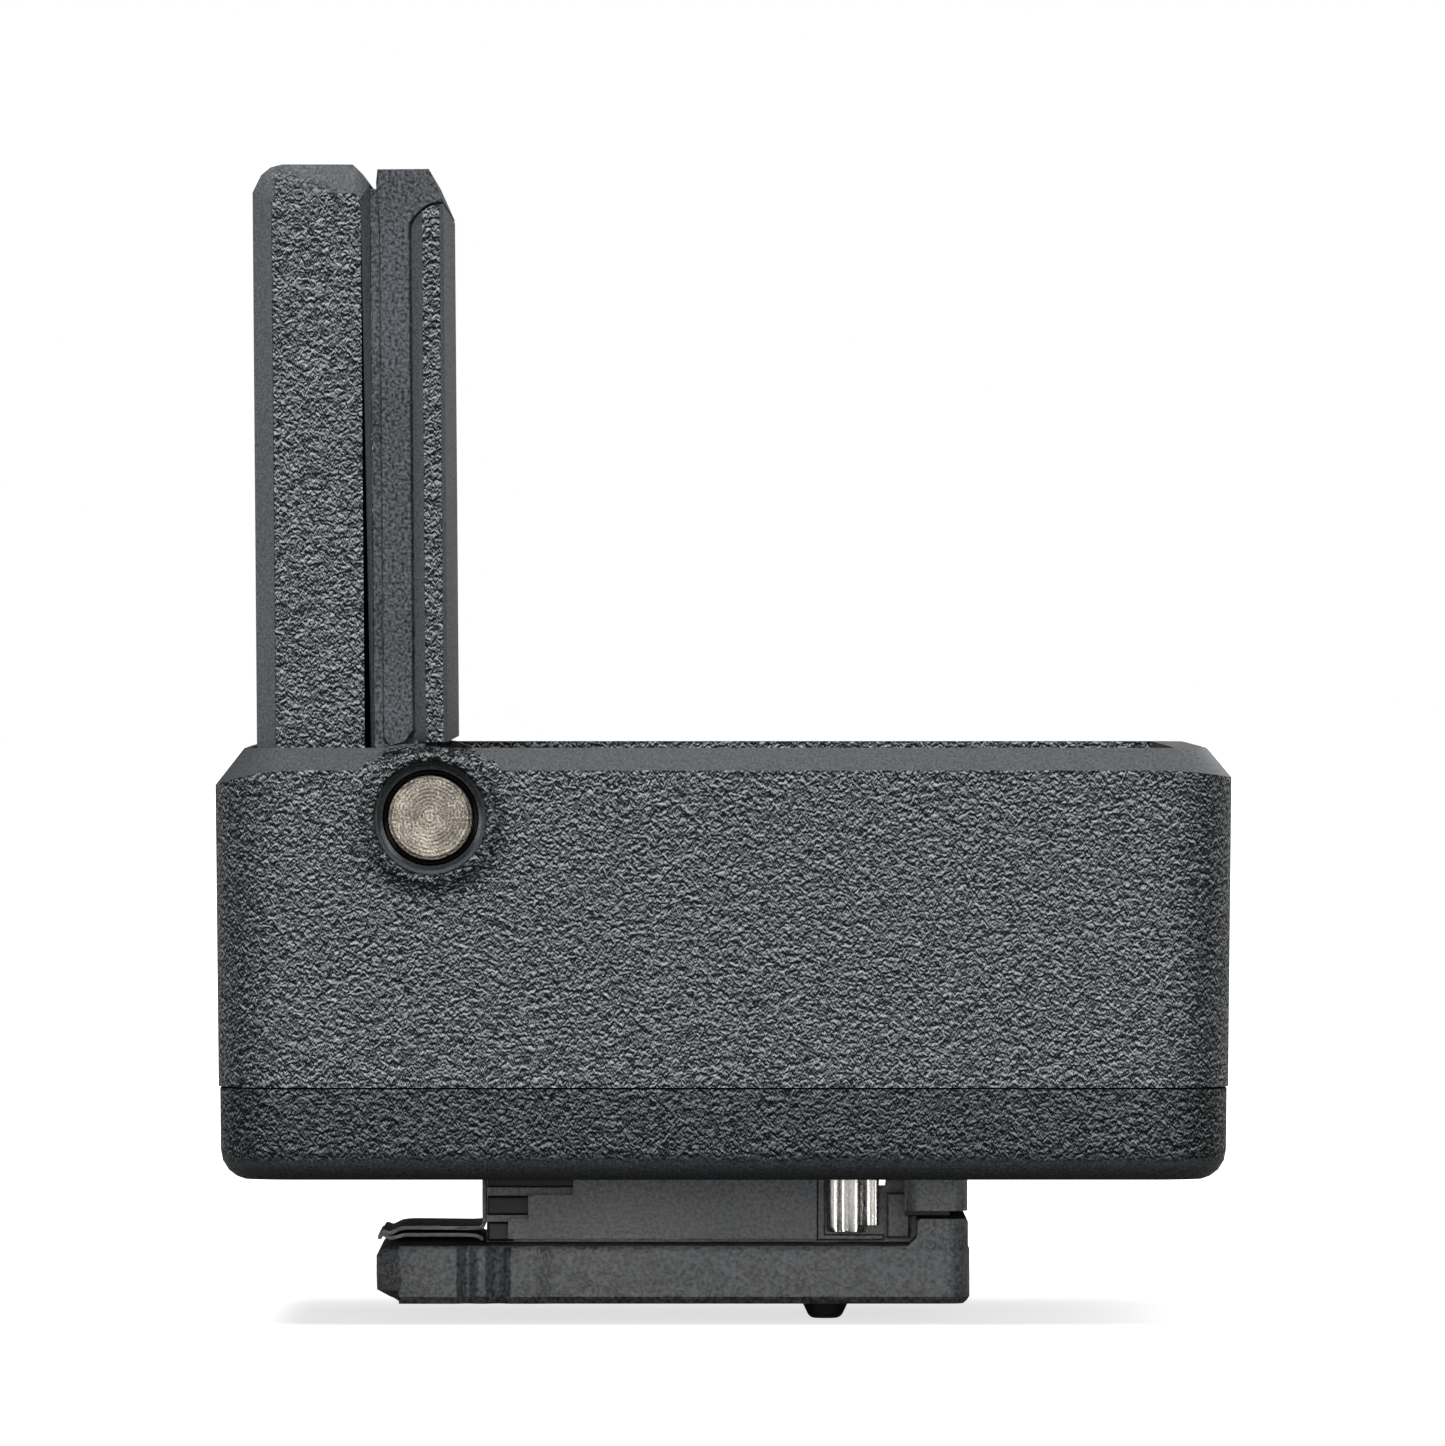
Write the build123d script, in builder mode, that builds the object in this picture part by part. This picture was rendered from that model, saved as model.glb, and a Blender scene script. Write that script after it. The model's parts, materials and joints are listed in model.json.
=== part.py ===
"""Clip-on flip-up flash for a camera's hot shoe: box body, folding head, and a shoe foot with contact pins.

Frame, in millimetres: the origin is the centre of the foot's underside. +Z is up, -X is the front, where
the foot slides into the shoe and the raised head fires its light, and Y runs across the camera.
"""

import os
from math import cos, radians, sin, sqrt

from build123d import *

os.makedirs("parts", exist_ok=True)

# Shoe foot: the plate that slides under the rails of a standard accessory shoe.
FOOT_LENGTH = 20.44
FOOT_WIDTH = 18.6
FOOT_THICK = 2.0
TONGUE_EXTRA = 0.15
STOP_FRONT = 8.43
STOP_TOP = 2.96

# Neck between the plate and the body.
NECK_FRONT = -6.45
NECK_HALF = 6.1
NECK_RECESS_HALF = 5.5
NECK_REAR = 8.19
NECK_TOP_REAR = 10.16
NECK_BLOCK_LOW = 3.12
NECK_BLOCK_WIDTH = 16.6
NECK_GROOVE = 0.25

# Box body: a housing over a bottom cover, with a slight moulding draft.
BODY_FRONT = -15.59
BODY_REAR = 19.04
BODY_WIDTH = 40.0
BODY_TOP = 19.2
SEAM = 7.69
BODY_BOTTOM = 4.54
BODY_CORNER = 2.8
DRAFT = 0.6
TOP_BEVEL = 0.9
BOTTOM_BEVEL = 0.7
WALL = 1.5

# Tray in the top of the body, which the folded head lies in.
TRAY_REAR = 17.1
TRAY_HALF = 17.8
TRAY_FLOOR = 16.1
TRAY_THICK = 1.2

# Hinge across the body.
HINGE_X = -8.22
HINGE_Z = 16.84
BARREL_R = 5.92
WELL_R = 6.15
PIN_R = 1.42
PIN_RUNNING = 0.03
BUSH_R = 1.64
BOSS_R = 2.2
BOSS_PROUD = 0.35

# Folding head, measured from the hinge axis: u towards the rear, w up the raised head.
LEAN = 0.45
HEAD_HALF = 17.4
HEAD_U_REAR = 0.58
SHELL_U_REAR = -1.93
FRAME_U = (-1.68, -0.55)
COVER_U_FRONT = -0.18
COVER_TOP = 20.55
HEAD_TOP = 22.26
FRAME_TOP = 22.06
SHELL_WALL = 1.02
SIDE_WALL = 1.3

# Contact pins in a row across the foot.
PIN_ROW_X = 5.27
PIN_COUNT = 5
PIN_PITCH = 2.15
CONTACT_R = 0.825
CONTACT_PROUD = 0.65
CONTACT_TIP = 0.6
CONTACT_TIP_TAPER = 26
CONTACT_BORE = 0.86
FLANGE_R = 0.93
FLANGE_BORE = 0.97

lean = radians(LEAN)
head_rear = Vector(cos(lean), 0, sin(lean))
head_up = Vector(-sin(lean), 0, cos(lean))


def head_point(u, y, w):
    """A point of the head, from its place beside the hinge axis."""
    return Vector(HINGE_X, y, HINGE_Z) + head_rear * u + head_up * w


def head_side(out=0.0):
    """A plane across the head, this far out along -Y: its x is u, its y is w, and it looks along -Y."""
    return Plane(origin=head_point(0, -out, 0), x_dir=head_rear, z_dir=(0, -1, 0))


def head_front(u):
    """A plane facing the front at this depth: its x runs along -Y and its y is w."""
    return Plane(origin=head_point(u, 0, 0), x_dir=(0, -1, 0), z_dir=-head_rear)


def depth_of(edge):
    """How far behind the hinge axis an edge of the head lies."""
    return (edge.center() - head_point(0, 0, 0)).dot(head_rear)


def finish(part, name):
    """Label one finished sub-part and write it out."""
    part.label = name
    export_step(part, f"parts/{name}.step")


# ---------------------------------------------------------------- body shells

body_centre = (BODY_FRONT + BODY_REAR) / 2
body_length = BODY_REAR - BODY_FRONT
draft_in = (BODY_TOP - SEAM) * sin(radians(DRAFT))
ceiling = TRAY_FLOOR - TRAY_THICK
corner_x = (BODY_FRONT + 3.3, BODY_REAR - 3.3)
corner_y = BODY_WIDTH / 2 - 3.3
corner_spots = [(x, y) for x in corner_x for y in (-corner_y, corner_y)]

with BuildPart() as base_housing:
    with BuildSketch(Plane.XY.offset(BODY_TOP)):
        with Locations((body_centre, 0)):
            RectangleRounded(body_length, BODY_WIDTH, BODY_CORNER)
    extrude(amount=-(BODY_TOP - SEAM), taper=DRAFT)
    chamfer(base_housing.faces().sort_by(Axis.Z)[-1].edges(), TOP_BEVEL)
    # hollow below the tray floor, leaving the curved wall of the barrel's well
    with BuildSketch(Plane.XY.offset(SEAM)):
        with Locations((body_centre, 0)):
            RectangleRounded(body_length - 2 * (WALL + draft_in), BODY_WIDTH - 2 * (WALL + draft_in), 1.3)
    extrude(amount=ceiling - SEAM, mode=Mode.SUBTRACT)
    with BuildSketch(Plane.XZ.offset(-(BODY_WIDTH / 2 - WALL))):
        with Locations((HINGE_X, HINGE_Z)):
            Circle(WELL_R + TRAY_THICK - 0.05)
        with Locations((HINGE_X, ceiling - WELL_R)):
            Rectangle(4 * WELL_R, 2 * WELL_R, mode=Mode.INTERSECT)
    extrude(amount=BODY_WIDTH - 2 * WALL)
    # bosses for the cover's screws
    with BuildSketch(Plane.XY.offset(SEAM)):
        with Locations(*corner_spots):
            Circle(1.7)
    extrude(amount=4.5)
    with BuildSketch(Plane.XY.offset(SEAM - 0.5)):
        with Locations(*corner_spots):
            Circle(0.65)
    extrude(amount=3.6, mode=Mode.SUBTRACT)
    # tray for the folded head, and the round well for its barrel
    with BuildSketch(Plane.XY.offset(TRAY_FLOOR)):
        tray_front = HINGE_X - WELL_R
        with Locations(((tray_front + TRAY_REAR) / 2, 0)):
            Rectangle(TRAY_REAR - tray_front, 2 * TRAY_HALF)
    extrude(amount=BODY_TOP, mode=Mode.SUBTRACT)
    with BuildSketch(Plane.XZ.offset(-TRAY_HALF)):
        with Locations((HINGE_X, HINGE_Z)):
            Circle(WELL_R)
    extrude(amount=2 * TRAY_HALF, mode=Mode.SUBTRACT)
    # raised rings round the hinge, and the holes for its bushes
    for side in (-1, 1):
        with BuildSketch(Plane.XZ.offset(side * (BODY_WIDTH / 2 - 1))):
            with Locations((HINGE_X, HINGE_Z)):
                Circle(BOSS_R)
        extrude(amount=side * (1 + BOSS_PROUD))
    with BuildSketch(Plane.XZ.offset(-BODY_WIDTH)):
        with Locations((HINGE_X, HINGE_Z)):
            Circle(BUSH_R)
    extrude(amount=2 * BODY_WIDTH, mode=Mode.SUBTRACT)
    # slot that lets the detent leaf reach the barrel
    with BuildSketch(Plane.XZ.offset(-3.3)):
        with Locations((HINGE_X + 6.3, ceiling - 1.35)):
            Rectangle(3.6, 2.7)
    extrude(amount=6.6, mode=Mode.SUBTRACT)
finish(base_housing.part, "base_housing")

plate_size = (body_length - 2 * draft_in - 0.1, BODY_WIDTH - 2 * draft_in - 0.1)
COVER_FLOOR = 1.2
cover_floor_top = BODY_BOTTOM + COVER_FLOOR
CARRIER_SIZE = (2.9, 11.8)
foot_screw_spots = [(x, y) for x in (-3.4, 1.6) for y in (-3.4, 3.4)]

with BuildPart() as bottom_cover:
    with BuildSketch(Plane.XY.offset(SEAM - 0.06)):
        with Locations((body_centre, 0)):
            RectangleRounded(*plate_size, BODY_CORNER - draft_in)
    extrude(amount=-(SEAM - 0.06 - BODY_BOTTOM), taper=DRAFT)
    chamfer(bottom_cover.faces().sort_by(Axis.Z)[0].edges(), BOTTOM_BEVEL)
    with BuildSketch(Plane.XY.offset(cover_floor_top)):
        with Locations((body_centre, 0)):
            RectangleRounded(plate_size[0] - 2 * WALL, plate_size[1] - 2 * WALL, 1.3)
    extrude(amount=SEAM, mode=Mode.SUBTRACT)
    # pillars that the four corner screws pass through
    with BuildSketch(Plane.XY.offset(BODY_BOTTOM + 0.5)):
        with Locations(*corner_spots):
            Circle(1.7)
    extrude(amount=SEAM - 0.06 - BODY_BOTTOM - 0.5)
    with Locations(*[Location((x, y, BODY_BOTTOM), (180, 0, 0)) for x, y in corner_spots]):
        CounterBoreHole(0.85, 1.4, 1.1, SEAM)
    # window for the contact block, and the foot's screw holes
    with BuildSketch(Plane.XY.offset(BODY_BOTTOM - 1)):
        with Locations((PIN_ROW_X, 0)):
            Rectangle(*CARRIER_SIZE)
        with Locations(*foot_screw_spots):
            Circle(0.6)
    extrude(amount=3, mode=Mode.SUBTRACT)
finish(bottom_cover.part, "bottom_cover")

with BuildPart() as bottom_cover_screws:
    head_z = BODY_BOTTOM + 0.3
    with BuildSketch(Plane.XY.offset(head_z)):
        with Locations(*corner_spots):
            Circle(1.3)
    extrude(amount=BODY_BOTTOM + 1.1 - head_z)
    with BuildSketch(Plane.XY.offset(BODY_BOTTOM + 1.1)):
        with Locations(*corner_spots):
            Circle(0.6)
    extrude(amount=4.8)
    with BuildSketch(Plane.XY.offset(head_z)):
        with Locations(*corner_spots):
            Rectangle(1.5, 0.32)
            Rectangle(0.32, 1.5)
    extrude(amount=0.4, mode=Mode.SUBTRACT)
finish(bottom_cover_screws.part, "bottom_cover_screws")

# ---------------------------------------------------------------- shoe foot

plate_half = FOOT_LENGTH / 2

with BuildPart() as foot_plate:
    # outline from above: flat-sided tongue with two shallow grooves, then the parallel rails
    half = FOOT_WIDTH / 2
    wide = half + TONGUE_EXTRA
    side_line = [
        (-plate_half, wide - 0.83),
        (-plate_half + 0.83, wide),
        (-7.26, wide),
        (-7.09, wide - 0.2),
        (-6.92, wide - 0.2),
        (-6.75, wide),
        (-6.3, wide),
        (-6.13, wide - 0.25),
        (-5.85, wide - 0.25),
        (-5.65, wide),
        (-4.89, wide),
        (-3.68, half),
        (plate_half - 0.86, half),
        (plate_half, half - 0.86),
    ]
    with BuildSketch(Plane.XY):
        with BuildLine():
            Polyline(*side_line, *[(x, -y) for x, y in reversed(side_line)], close=True)
        make_face()
    extrude(amount=FOOT_THICK)
    # stop block across the rear
    with BuildSketch(Plane.XY.offset(FOOT_THICK - 0.2)):
        with Locations(((STOP_FRONT + plate_half - 0.1) / 2, 0)):
            RectangleRounded(plate_half - 0.1 - STOP_FRONT, FOOT_WIDTH - 0.1, 0.5)
    extrude(amount=STOP_TOP - FOOT_THICK + 0.2)
    # bevelled lead-in at the tongue's tip, longer underneath
    with BuildSketch(Plane.XZ.offset(-FOOT_WIDTH)):
        with BuildLine():
            Polyline((-plate_half, 0.48), (-plate_half + 1.0, 0), (-plate_half, 0), close=True)
        make_face()
        with BuildLine():
            tip_top = (-plate_half + 0.5, FOOT_THICK)
            Polyline((-plate_half, FOOT_THICK - 0.35), tip_top, (-plate_half, FOOT_THICK), close=True)
        make_face()
    extrude(amount=2 * FOOT_WIDTH, mode=Mode.SUBTRACT)
    with BuildSketch(Plane.XY):
        with Locations((PIN_ROW_X, 0)):
            with GridLocations(0, PIN_PITCH, 1, PIN_COUNT):
                Circle(CONTACT_BORE)
    extrude(amount=FOOT_THICK, mode=Mode.SUBTRACT)
    with Locations(*[Location((x, y, 0), (180, 0, 0)) for x, y in foot_screw_spots]):
        CounterSinkHole(0.85, 1.6, FOOT_THICK, 90)
finish(foot_plate.part, "foot_plate")

with BuildPart() as foot_neck:
    # core of the neck, a little narrower than its side faces, reaching back to the foot's stop
    with BuildSketch(Plane.XY.offset(FOOT_THICK)):
        with Locations(((NECK_FRONT + STOP_FRONT) / 2, 0)):
            Rectangle(STOP_FRONT - NECK_FRONT, 2 * NECK_RECESS_HALF)
    extrude(amount=BODY_BOTTOM - FOOT_THICK)
    # side faces, stepped like a stair towards the front
    with BuildSketch(Plane.XZ.offset(-NECK_HALF)):
        with BuildLine():
            Polyline(
                (4.91, FOOT_THICK + 0.2),
                (-5.64, FOOT_THICK + 0.2),
                (-5.64, 2.77),
                (-4.95, 2.77),
                (-4.95, 3.6),
                (-3.39, 3.6),
                (-3.39, BODY_BOTTOM),
                (4.91, BODY_BOTTOM),
                close=True,
            )
        make_face()
    extrude(amount=2 * NECK_HALF)
    # post behind the ground springs, and the block over the foot's stop
    with BuildSketch(Plane.XZ.offset(-NECK_HALF)):
        with Locations(((7.4 + NECK_REAR) / 2, (FOOT_THICK + 0.18 + 3.73) / 2)):
            Rectangle(NECK_REAR - 7.4, 3.73 - FOOT_THICK - 0.18)
    extrude(amount=2 * NECK_HALF)
    with BuildSketch(Plane.XY.offset(NECK_BLOCK_LOW)):
        with Locations(((8.0 + NECK_TOP_REAR) / 2, 0)):
            RectangleRounded(NECK_TOP_REAR - 8.0, NECK_BLOCK_WIDTH, 0.5)
    extrude(amount=BODY_BOTTOM - NECK_BLOCK_LOW)
    # pad that fills the gap over the stop, short of its edges
    with BuildSketch(Plane.XY.offset(STOP_TOP)):
        with Locations(((8.0 + NECK_TOP_REAR - NECK_GROOVE) / 2, 0)):
            Rectangle(NECK_TOP_REAR - NECK_GROOVE - 8.0, NECK_BLOCK_WIDTH - 2 * NECK_GROOVE)
    extrude(amount=NECK_BLOCK_LOW - STOP_TOP)
    # bores for the contact pins' flanges and springs, and clearance for the foot's screws
    with BuildSketch(Plane.XY.offset(FOOT_THICK)):
        with Locations((PIN_ROW_X, 0)):
            with GridLocations(0, PIN_PITCH, 1, PIN_COUNT):
                Circle(FLANGE_BORE)
        with Locations(*foot_screw_spots):
            Circle(0.85)
    extrude(amount=BODY_BOTTOM, mode=Mode.SUBTRACT)
    # slots that hold the ground springs' folded tabs
    with BuildSketch(Plane.XY.offset(3.3)):
        with GridLocations(0, 2 * (NECK_RECESS_HALF - 0.3), 1, 2):
            with Locations((7.0, 0)):
                Rectangle(0.3, 1.0)
    extrude(amount=BODY_BOTTOM, mode=Mode.SUBTRACT)
finish(foot_neck.part, "foot_neck")

SHEET = 0.17
SHEET_HALF = 4.6

with BuildPart() as foot_sheet:
    # thin sheet bent up the front of the neck and lying along the tongue
    with BuildSketch(Plane.XZ.offset(-SHEET_HALF)):
        with BuildLine():
            FilletPolyline(
                (-plate_half + 0.55, FOOT_THICK + 0.01 + SHEET / 2),
                (NECK_FRONT - 0.02 - SHEET / 2, FOOT_THICK + 0.01 + SHEET / 2),
                (NECK_FRONT - 0.02 - SHEET / 2, BODY_BOTTOM - 0.02 - SHEET / 2),
                radius=0.3,
            )
            offset(amount=SHEET / 2, side=Side.BOTH)
        make_face()
    extrude(amount=2 * SHEET_HALF)
finish(foot_sheet.part, "foot_sheet")

with BuildPart() as foot_screws:
    with BuildSketch(Plane.XY.offset(0.1)):
        with Locations(*foot_screw_spots):
            Circle(1.42)
    extrude(amount=0.75, taper=45)
    with BuildSketch(Plane.XY.offset(0.6)):
        with Locations(*foot_screw_spots):
            Circle(0.55)
    extrude(amount=5.6)
    with BuildSketch(Plane.XY.offset(0.1)):
        with Locations(*foot_screw_spots):
            Rectangle(1.5, 0.32)
            Rectangle(0.32, 1.5)
    extrude(amount=0.4, mode=Mode.SUBTRACT)
finish(foot_screws.part, "foot_screws")

SPRING_X = (5.25, 7.5)
SPRING_LEAF = 0.16
spring_y = NECK_RECESS_HALF + 0.12

with BuildPart() as ground_springs:
    # one corrugated leaf on each side of the neck, with a tab hooked into it
    for side in (-1, 1):
        folds = [(5.33, 0), (5.55, 0.42), (5.9, 0.3), (6.2, 0.62), (6.55, 0.25), (6.85, 0.5), (7.0, 0)]
        outer = [(x, side * (spring_y + y)) for x, y in folds]
        inner = [(x, side * (spring_y + y - SPRING_LEAF)) for x, y in reversed(folds[:-1])]
        tab = [(7.0, side * (NECK_RECESS_HALF - 0.7)), (6.9, side * (NECK_RECESS_HALF - 0.7))]
        with BuildSketch(Plane.XY.offset(3.4)):
            with BuildLine():
                Polyline(outer[-1], *tab, (6.9, side * spring_y), close=True)
            make_face()
        extrude(amount=BODY_BOTTOM - 0.05 - 3.4)
        with BuildSketch(Plane.XY.offset(2.39)):
            with BuildLine():
                Polyline(*outer, (6.9, side * spring_y), *inner, close=True)
            make_face()
        extrude(amount=BODY_BOTTOM - 0.05 - 2.39)
finish(ground_springs.part, "ground_springs")

pin_spots = [(PIN_ROW_X, (i - (PIN_COUNT - 1) / 2) * PIN_PITCH) for i in range(PIN_COUNT)]
SPRING_SEAT = 5.4

for number, (pin_x, pin_y) in enumerate(pin_spots, start=1):
    with BuildPart() as contact_pin:
        # shank with a rounded cone for its tip, below a flange that the spring presses on
        with BuildSketch(Plane.XY.offset(-CONTACT_PROUD + CONTACT_TIP)):
            with Locations((pin_x, pin_y)):
                Circle(CONTACT_R)
        extrude(amount=CONTACT_PROUD - CONTACT_TIP + FOOT_THICK + 0.02)
        extrude(contact_pin.faces().sort_by(Axis.Z)[0], amount=CONTACT_TIP, taper=CONTACT_TIP_TAPER)
        fillet(contact_pin.faces().sort_by(Axis.Z)[0].edges(), 0.3)
        with BuildSketch(Plane.XY.offset(FOOT_THICK + 0.02)):
            with Locations((pin_x, pin_y)):
                Circle(FLANGE_R)
        extrude(amount=0.4)
        with BuildSketch(Plane.XY.offset(FOOT_THICK + 0.42)):
            with Locations((pin_x, pin_y)):
                Circle(0.45)
        extrude(amount=1.2)
    finish(contact_pin.part, f"contact_pin_{number}")

with BuildPart() as contact_springs:
    # close-wound springs between each pin's flange and the contact block
    wire = 0.11
    spring_low = FOOT_THICK + 0.45 + wire
    spring_high = SPRING_SEAT - 0.03 - wire
    for pin_x, pin_y in pin_spots:
        rise = spring_high - spring_low
        with BuildLine() as coil:
            Helix(pitch=rise / 6, height=rise, radius=0.7, center=(pin_x, pin_y, spring_low))
        with BuildSketch(Plane(origin=coil.line @ 0, z_dir=coil.line % 0)):
            Circle(wire)
        sweep(path=coil.line)
finish(contact_springs.part, "contact_springs")

with BuildPart() as contact_carrier:
    # moulded block that closes the pins' bores and holds their terminals
    with BuildSketch(Plane.XY.offset(BODY_BOTTOM)):
        with Locations((PIN_ROW_X, 0)):
            Rectangle(CARRIER_SIZE[0] - 0.1, CARRIER_SIZE[1] - 0.1)
    extrude(amount=6.2 - BODY_BOTTOM)
    with BuildSketch(Plane.XY.offset(BODY_BOTTOM)):
        with Locations(*pin_spots):
            Circle(FLANGE_BORE)
    extrude(amount=SPRING_SEAT - BODY_BOTTOM, mode=Mode.SUBTRACT)
    with BuildSketch(Plane.XY.offset(SPRING_SEAT)):
        with Locations(*pin_spots):
            Circle(0.5)
    extrude(amount=1, mode=Mode.SUBTRACT)
finish(contact_carrier.part, "contact_carrier")

BOARD_Z = 6.5
BOARD_THICK = 0.8

with BuildPart() as contact_terminals:
    # a rivet over each spring, soldered to the circuit board
    with BuildSketch(Plane.XY.offset(SPRING_SEAT - 0.02)):
        with Locations(*pin_spots):
            Circle(0.45)
    extrude(amount=BOARD_Z - SPRING_SEAT)
finish(contact_terminals.part, "contact_terminals")

# ---------------------------------------------------------------- electronics in the body

board_front = BODY_FRONT + WALL + 0.6
BOARD_REAR = 7.2
board_half = BODY_WIDTH / 2 - WALL - 0.7
board_top = BOARD_Z + BOARD_THICK
board_screw_spots = [(-6.5, -14.5), (-6.5, 14.5)]

with BuildPart() as main_board:
    with BuildSketch(Plane.XY.offset(BOARD_Z)):
        with Locations(((board_front + BOARD_REAR) / 2, 0)):
            Rectangle(BOARD_REAR - board_front, 2 * board_half)
        with Locations(*corner_spots[:2]):
            Rectangle(5.2, 5.2, mode=Mode.SUBTRACT)
        with Locations(*board_screw_spots):
            Circle(0.8, mode=Mode.SUBTRACT)
    extrude(amount=BOARD_THICK)
finish(main_board.part, "main_board")

with BuildPart() as board_screws:
    with BuildSketch(Plane.XY.offset(board_top + 0.02)):
        with Locations(*board_screw_spots):
            Circle(1.2)
    extrude(amount=0.7)
    with BuildSketch(Plane.XY.offset(cover_floor_top + 0.05)):
        with Locations(*board_screw_spots):
            Circle(0.6)
    extrude(amount=board_top - cover_floor_top)
finish(board_screws.part, "board_screws")

with BuildPart() as main_capacitor:
    # photoflash capacitor lying across the rear of the body
    with BuildSketch(Plane.XZ.offset(-14.5)):
        with Locations((12.4, 10.35)):
            Circle(4.25)
    extrude(amount=29)
    fillet(main_capacitor.edges().filter_by(GeomType.CIRCLE), 0.4)
finish(main_capacitor.part, "main_capacitor")

with BuildPart() as charging_transformer:
    # ferrite core with flanged bobbin and winding
    with BuildSketch(Plane.XY.offset(board_top + 0.02)):
        with Locations((3.4, -9)):
            Rectangle(6.4, 7.6)
    extrude(amount=6.6)
    for side in (-1, 1):
        with BuildSketch(Plane.XY.offset(board_top + 1.6)):
            with Locations((3.4 + side * 2.6, -9)):
                Rectangle(1.8, 5.2)
        extrude(amount=3.4, mode=Mode.SUBTRACT)
    with BuildSketch(Plane.YZ.offset(0.9)):
        with Locations((-9, board_top + 3.3)):
            Circle(2.4)
    extrude(amount=5)
finish(charging_transformer.part, "charging_transformer")

with BuildPart() as igbt_switch:
    with BuildSketch(Plane.XY.offset(board_top + 0.05)):
        with Locations((3.6, 3)):
            Rectangle(4.4, 3.1)
    extrude(amount=1.2)
    with BuildSketch(Plane.XY.offset(board_top + 0.05)):
        with Locations((3.6, 3)):
            with GridLocations(1.2, 4.9, 4, 2):
                Rectangle(0.42, 1.4)
    extrude(amount=0.25)
finish(igbt_switch.part, "igbt_switch")

with BuildPart() as board_chips:
    with BuildSketch(Plane.XY.offset(board_top + 0.05)):
        with Locations((-9.0, 4)):
            Rectangle(4.4, 4.4)
        with Locations((-9.5, -5)):
            Rectangle(3.2, 5.0)
        with Locations((3.6, 12)):
            with GridLocations(2.2, 2.6, 3, 3):
                Rectangle(1.0, 1.8)
    extrude(amount=0.9)
finish(board_chips.part, "board_chips")

with BuildPart() as open_switch:
    # detector switch behind the well, worked as the head opens
    with BuildSketch(Plane.XY.offset(board_top + 0.05)):
        with Locations((4.6, -1.8)):
            Rectangle(3.2, 2.4)
    extrude(amount=2.6)
    with BuildSketch(Plane.XY.offset(board_top + 2.6)):
        with Locations((4.6, -1.8)):
            Rectangle(0.6, 0.9)
    extrude(amount=1.6)
finish(open_switch.part, "open_switch")

with BuildPart() as detent_spring:
    # leaf soldered to the board, whose nose presses on the barrel through the well's slot
    with BuildSketch(Plane.XZ.offset(-3.0)):
        with BuildLine():
            FilletPolyline(
                (0.9, board_top + 0.12),
                (-0.6, board_top + 0.12),
                (-0.6, 12.7),
                (-2.82, 13.75),
                (-1.2, ceiling - 0.25),
                radius=0.25,
            )
            offset(amount=0.1, side=Side.BOTH)
        make_face()
    extrude(amount=6.0)
finish(detent_spring.part, "detent_spring")

# ---------------------------------------------------------------- hinge

with BuildPart() as hinge_bushes:
    for side in (-1, 1):
        with BuildSketch(Plane.XZ.offset(side * (TRAY_HALF - 0.1))):
            with Locations((HINGE_X, HINGE_Z)):
                Circle(BUSH_R - 0.01)
                Circle(PIN_R + PIN_RUNNING, mode=Mode.SUBTRACT)
        extrude(amount=side * (BODY_WIDTH / 2 - TRAY_HALF + 0.15))
finish(hinge_bushes.part, "hinge_bushes")

PIN_INNER = 15.0
CHEEK_INNER = 15.9
PIN_OUTER = BODY_WIDTH / 2 + 0.02
PIN_GRIP = 0.01

with BuildPart() as hinge_pins:
    for side in (-1, 1):
        with BuildSketch(Plane.XZ.offset(side * PIN_INNER)):
            with Locations((HINGE_X, HINGE_Z)):
                Circle(PIN_R)
        extrude(amount=side * (PIN_OUTER - PIN_INNER))
        # groove for the retaining clip, and the turned centre of the outer end
        with BuildSketch(Plane.XZ.offset(side * (CHEEK_INNER - 0.5))):
            with Locations((HINGE_X, HINGE_Z)):
                Circle(PIN_R + 0.2)
                Circle(1.0, mode=Mode.SUBTRACT)
        extrude(amount=side * 0.42, mode=Mode.SUBTRACT)
    chamfer(hinge_pins.faces().sort_by(Axis.Y)[0].edges(), 0.12)
    chamfer(hinge_pins.faces().sort_by(Axis.Y)[-1].edges(), 0.12)
finish(hinge_pins.part, "hinge_pins")

with BuildPart() as pin_clips:
    for side in (-1, 1):
        with BuildSketch(Plane.XZ.offset(side * (CHEEK_INNER - 0.48))):
            with Locations((HINGE_X, HINGE_Z)):
                Circle(1.85)
                Circle(1.03, mode=Mode.SUBTRACT)
            with Locations((HINGE_X, HINGE_Z - 1.6)):
                Rectangle(1.3, 2.4, mode=Mode.SUBTRACT)
        extrude(amount=side * 0.38)
finish(pin_clips.part, "pin_clips")

# ---------------------------------------------------------------- folding head

BARREL_FLAT = -0.9
EYE_R = 2.4
barrel_tip = sqrt(BARREL_R**2 - BARREL_FLAT**2)
WINDOW = (14.4, 8.0, 20.5)
CAVITY_HALF = HEAD_HALF - SIDE_WALL
CAVITY_LOW = 2.5
CAVITY_TOP = 21.2
FRONT_INNER = -BARREL_R + SHELL_WALL
post_spots = [(y, w) for y in (-15.05, 15.05) for w in (4.3, 20.1)]

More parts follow.
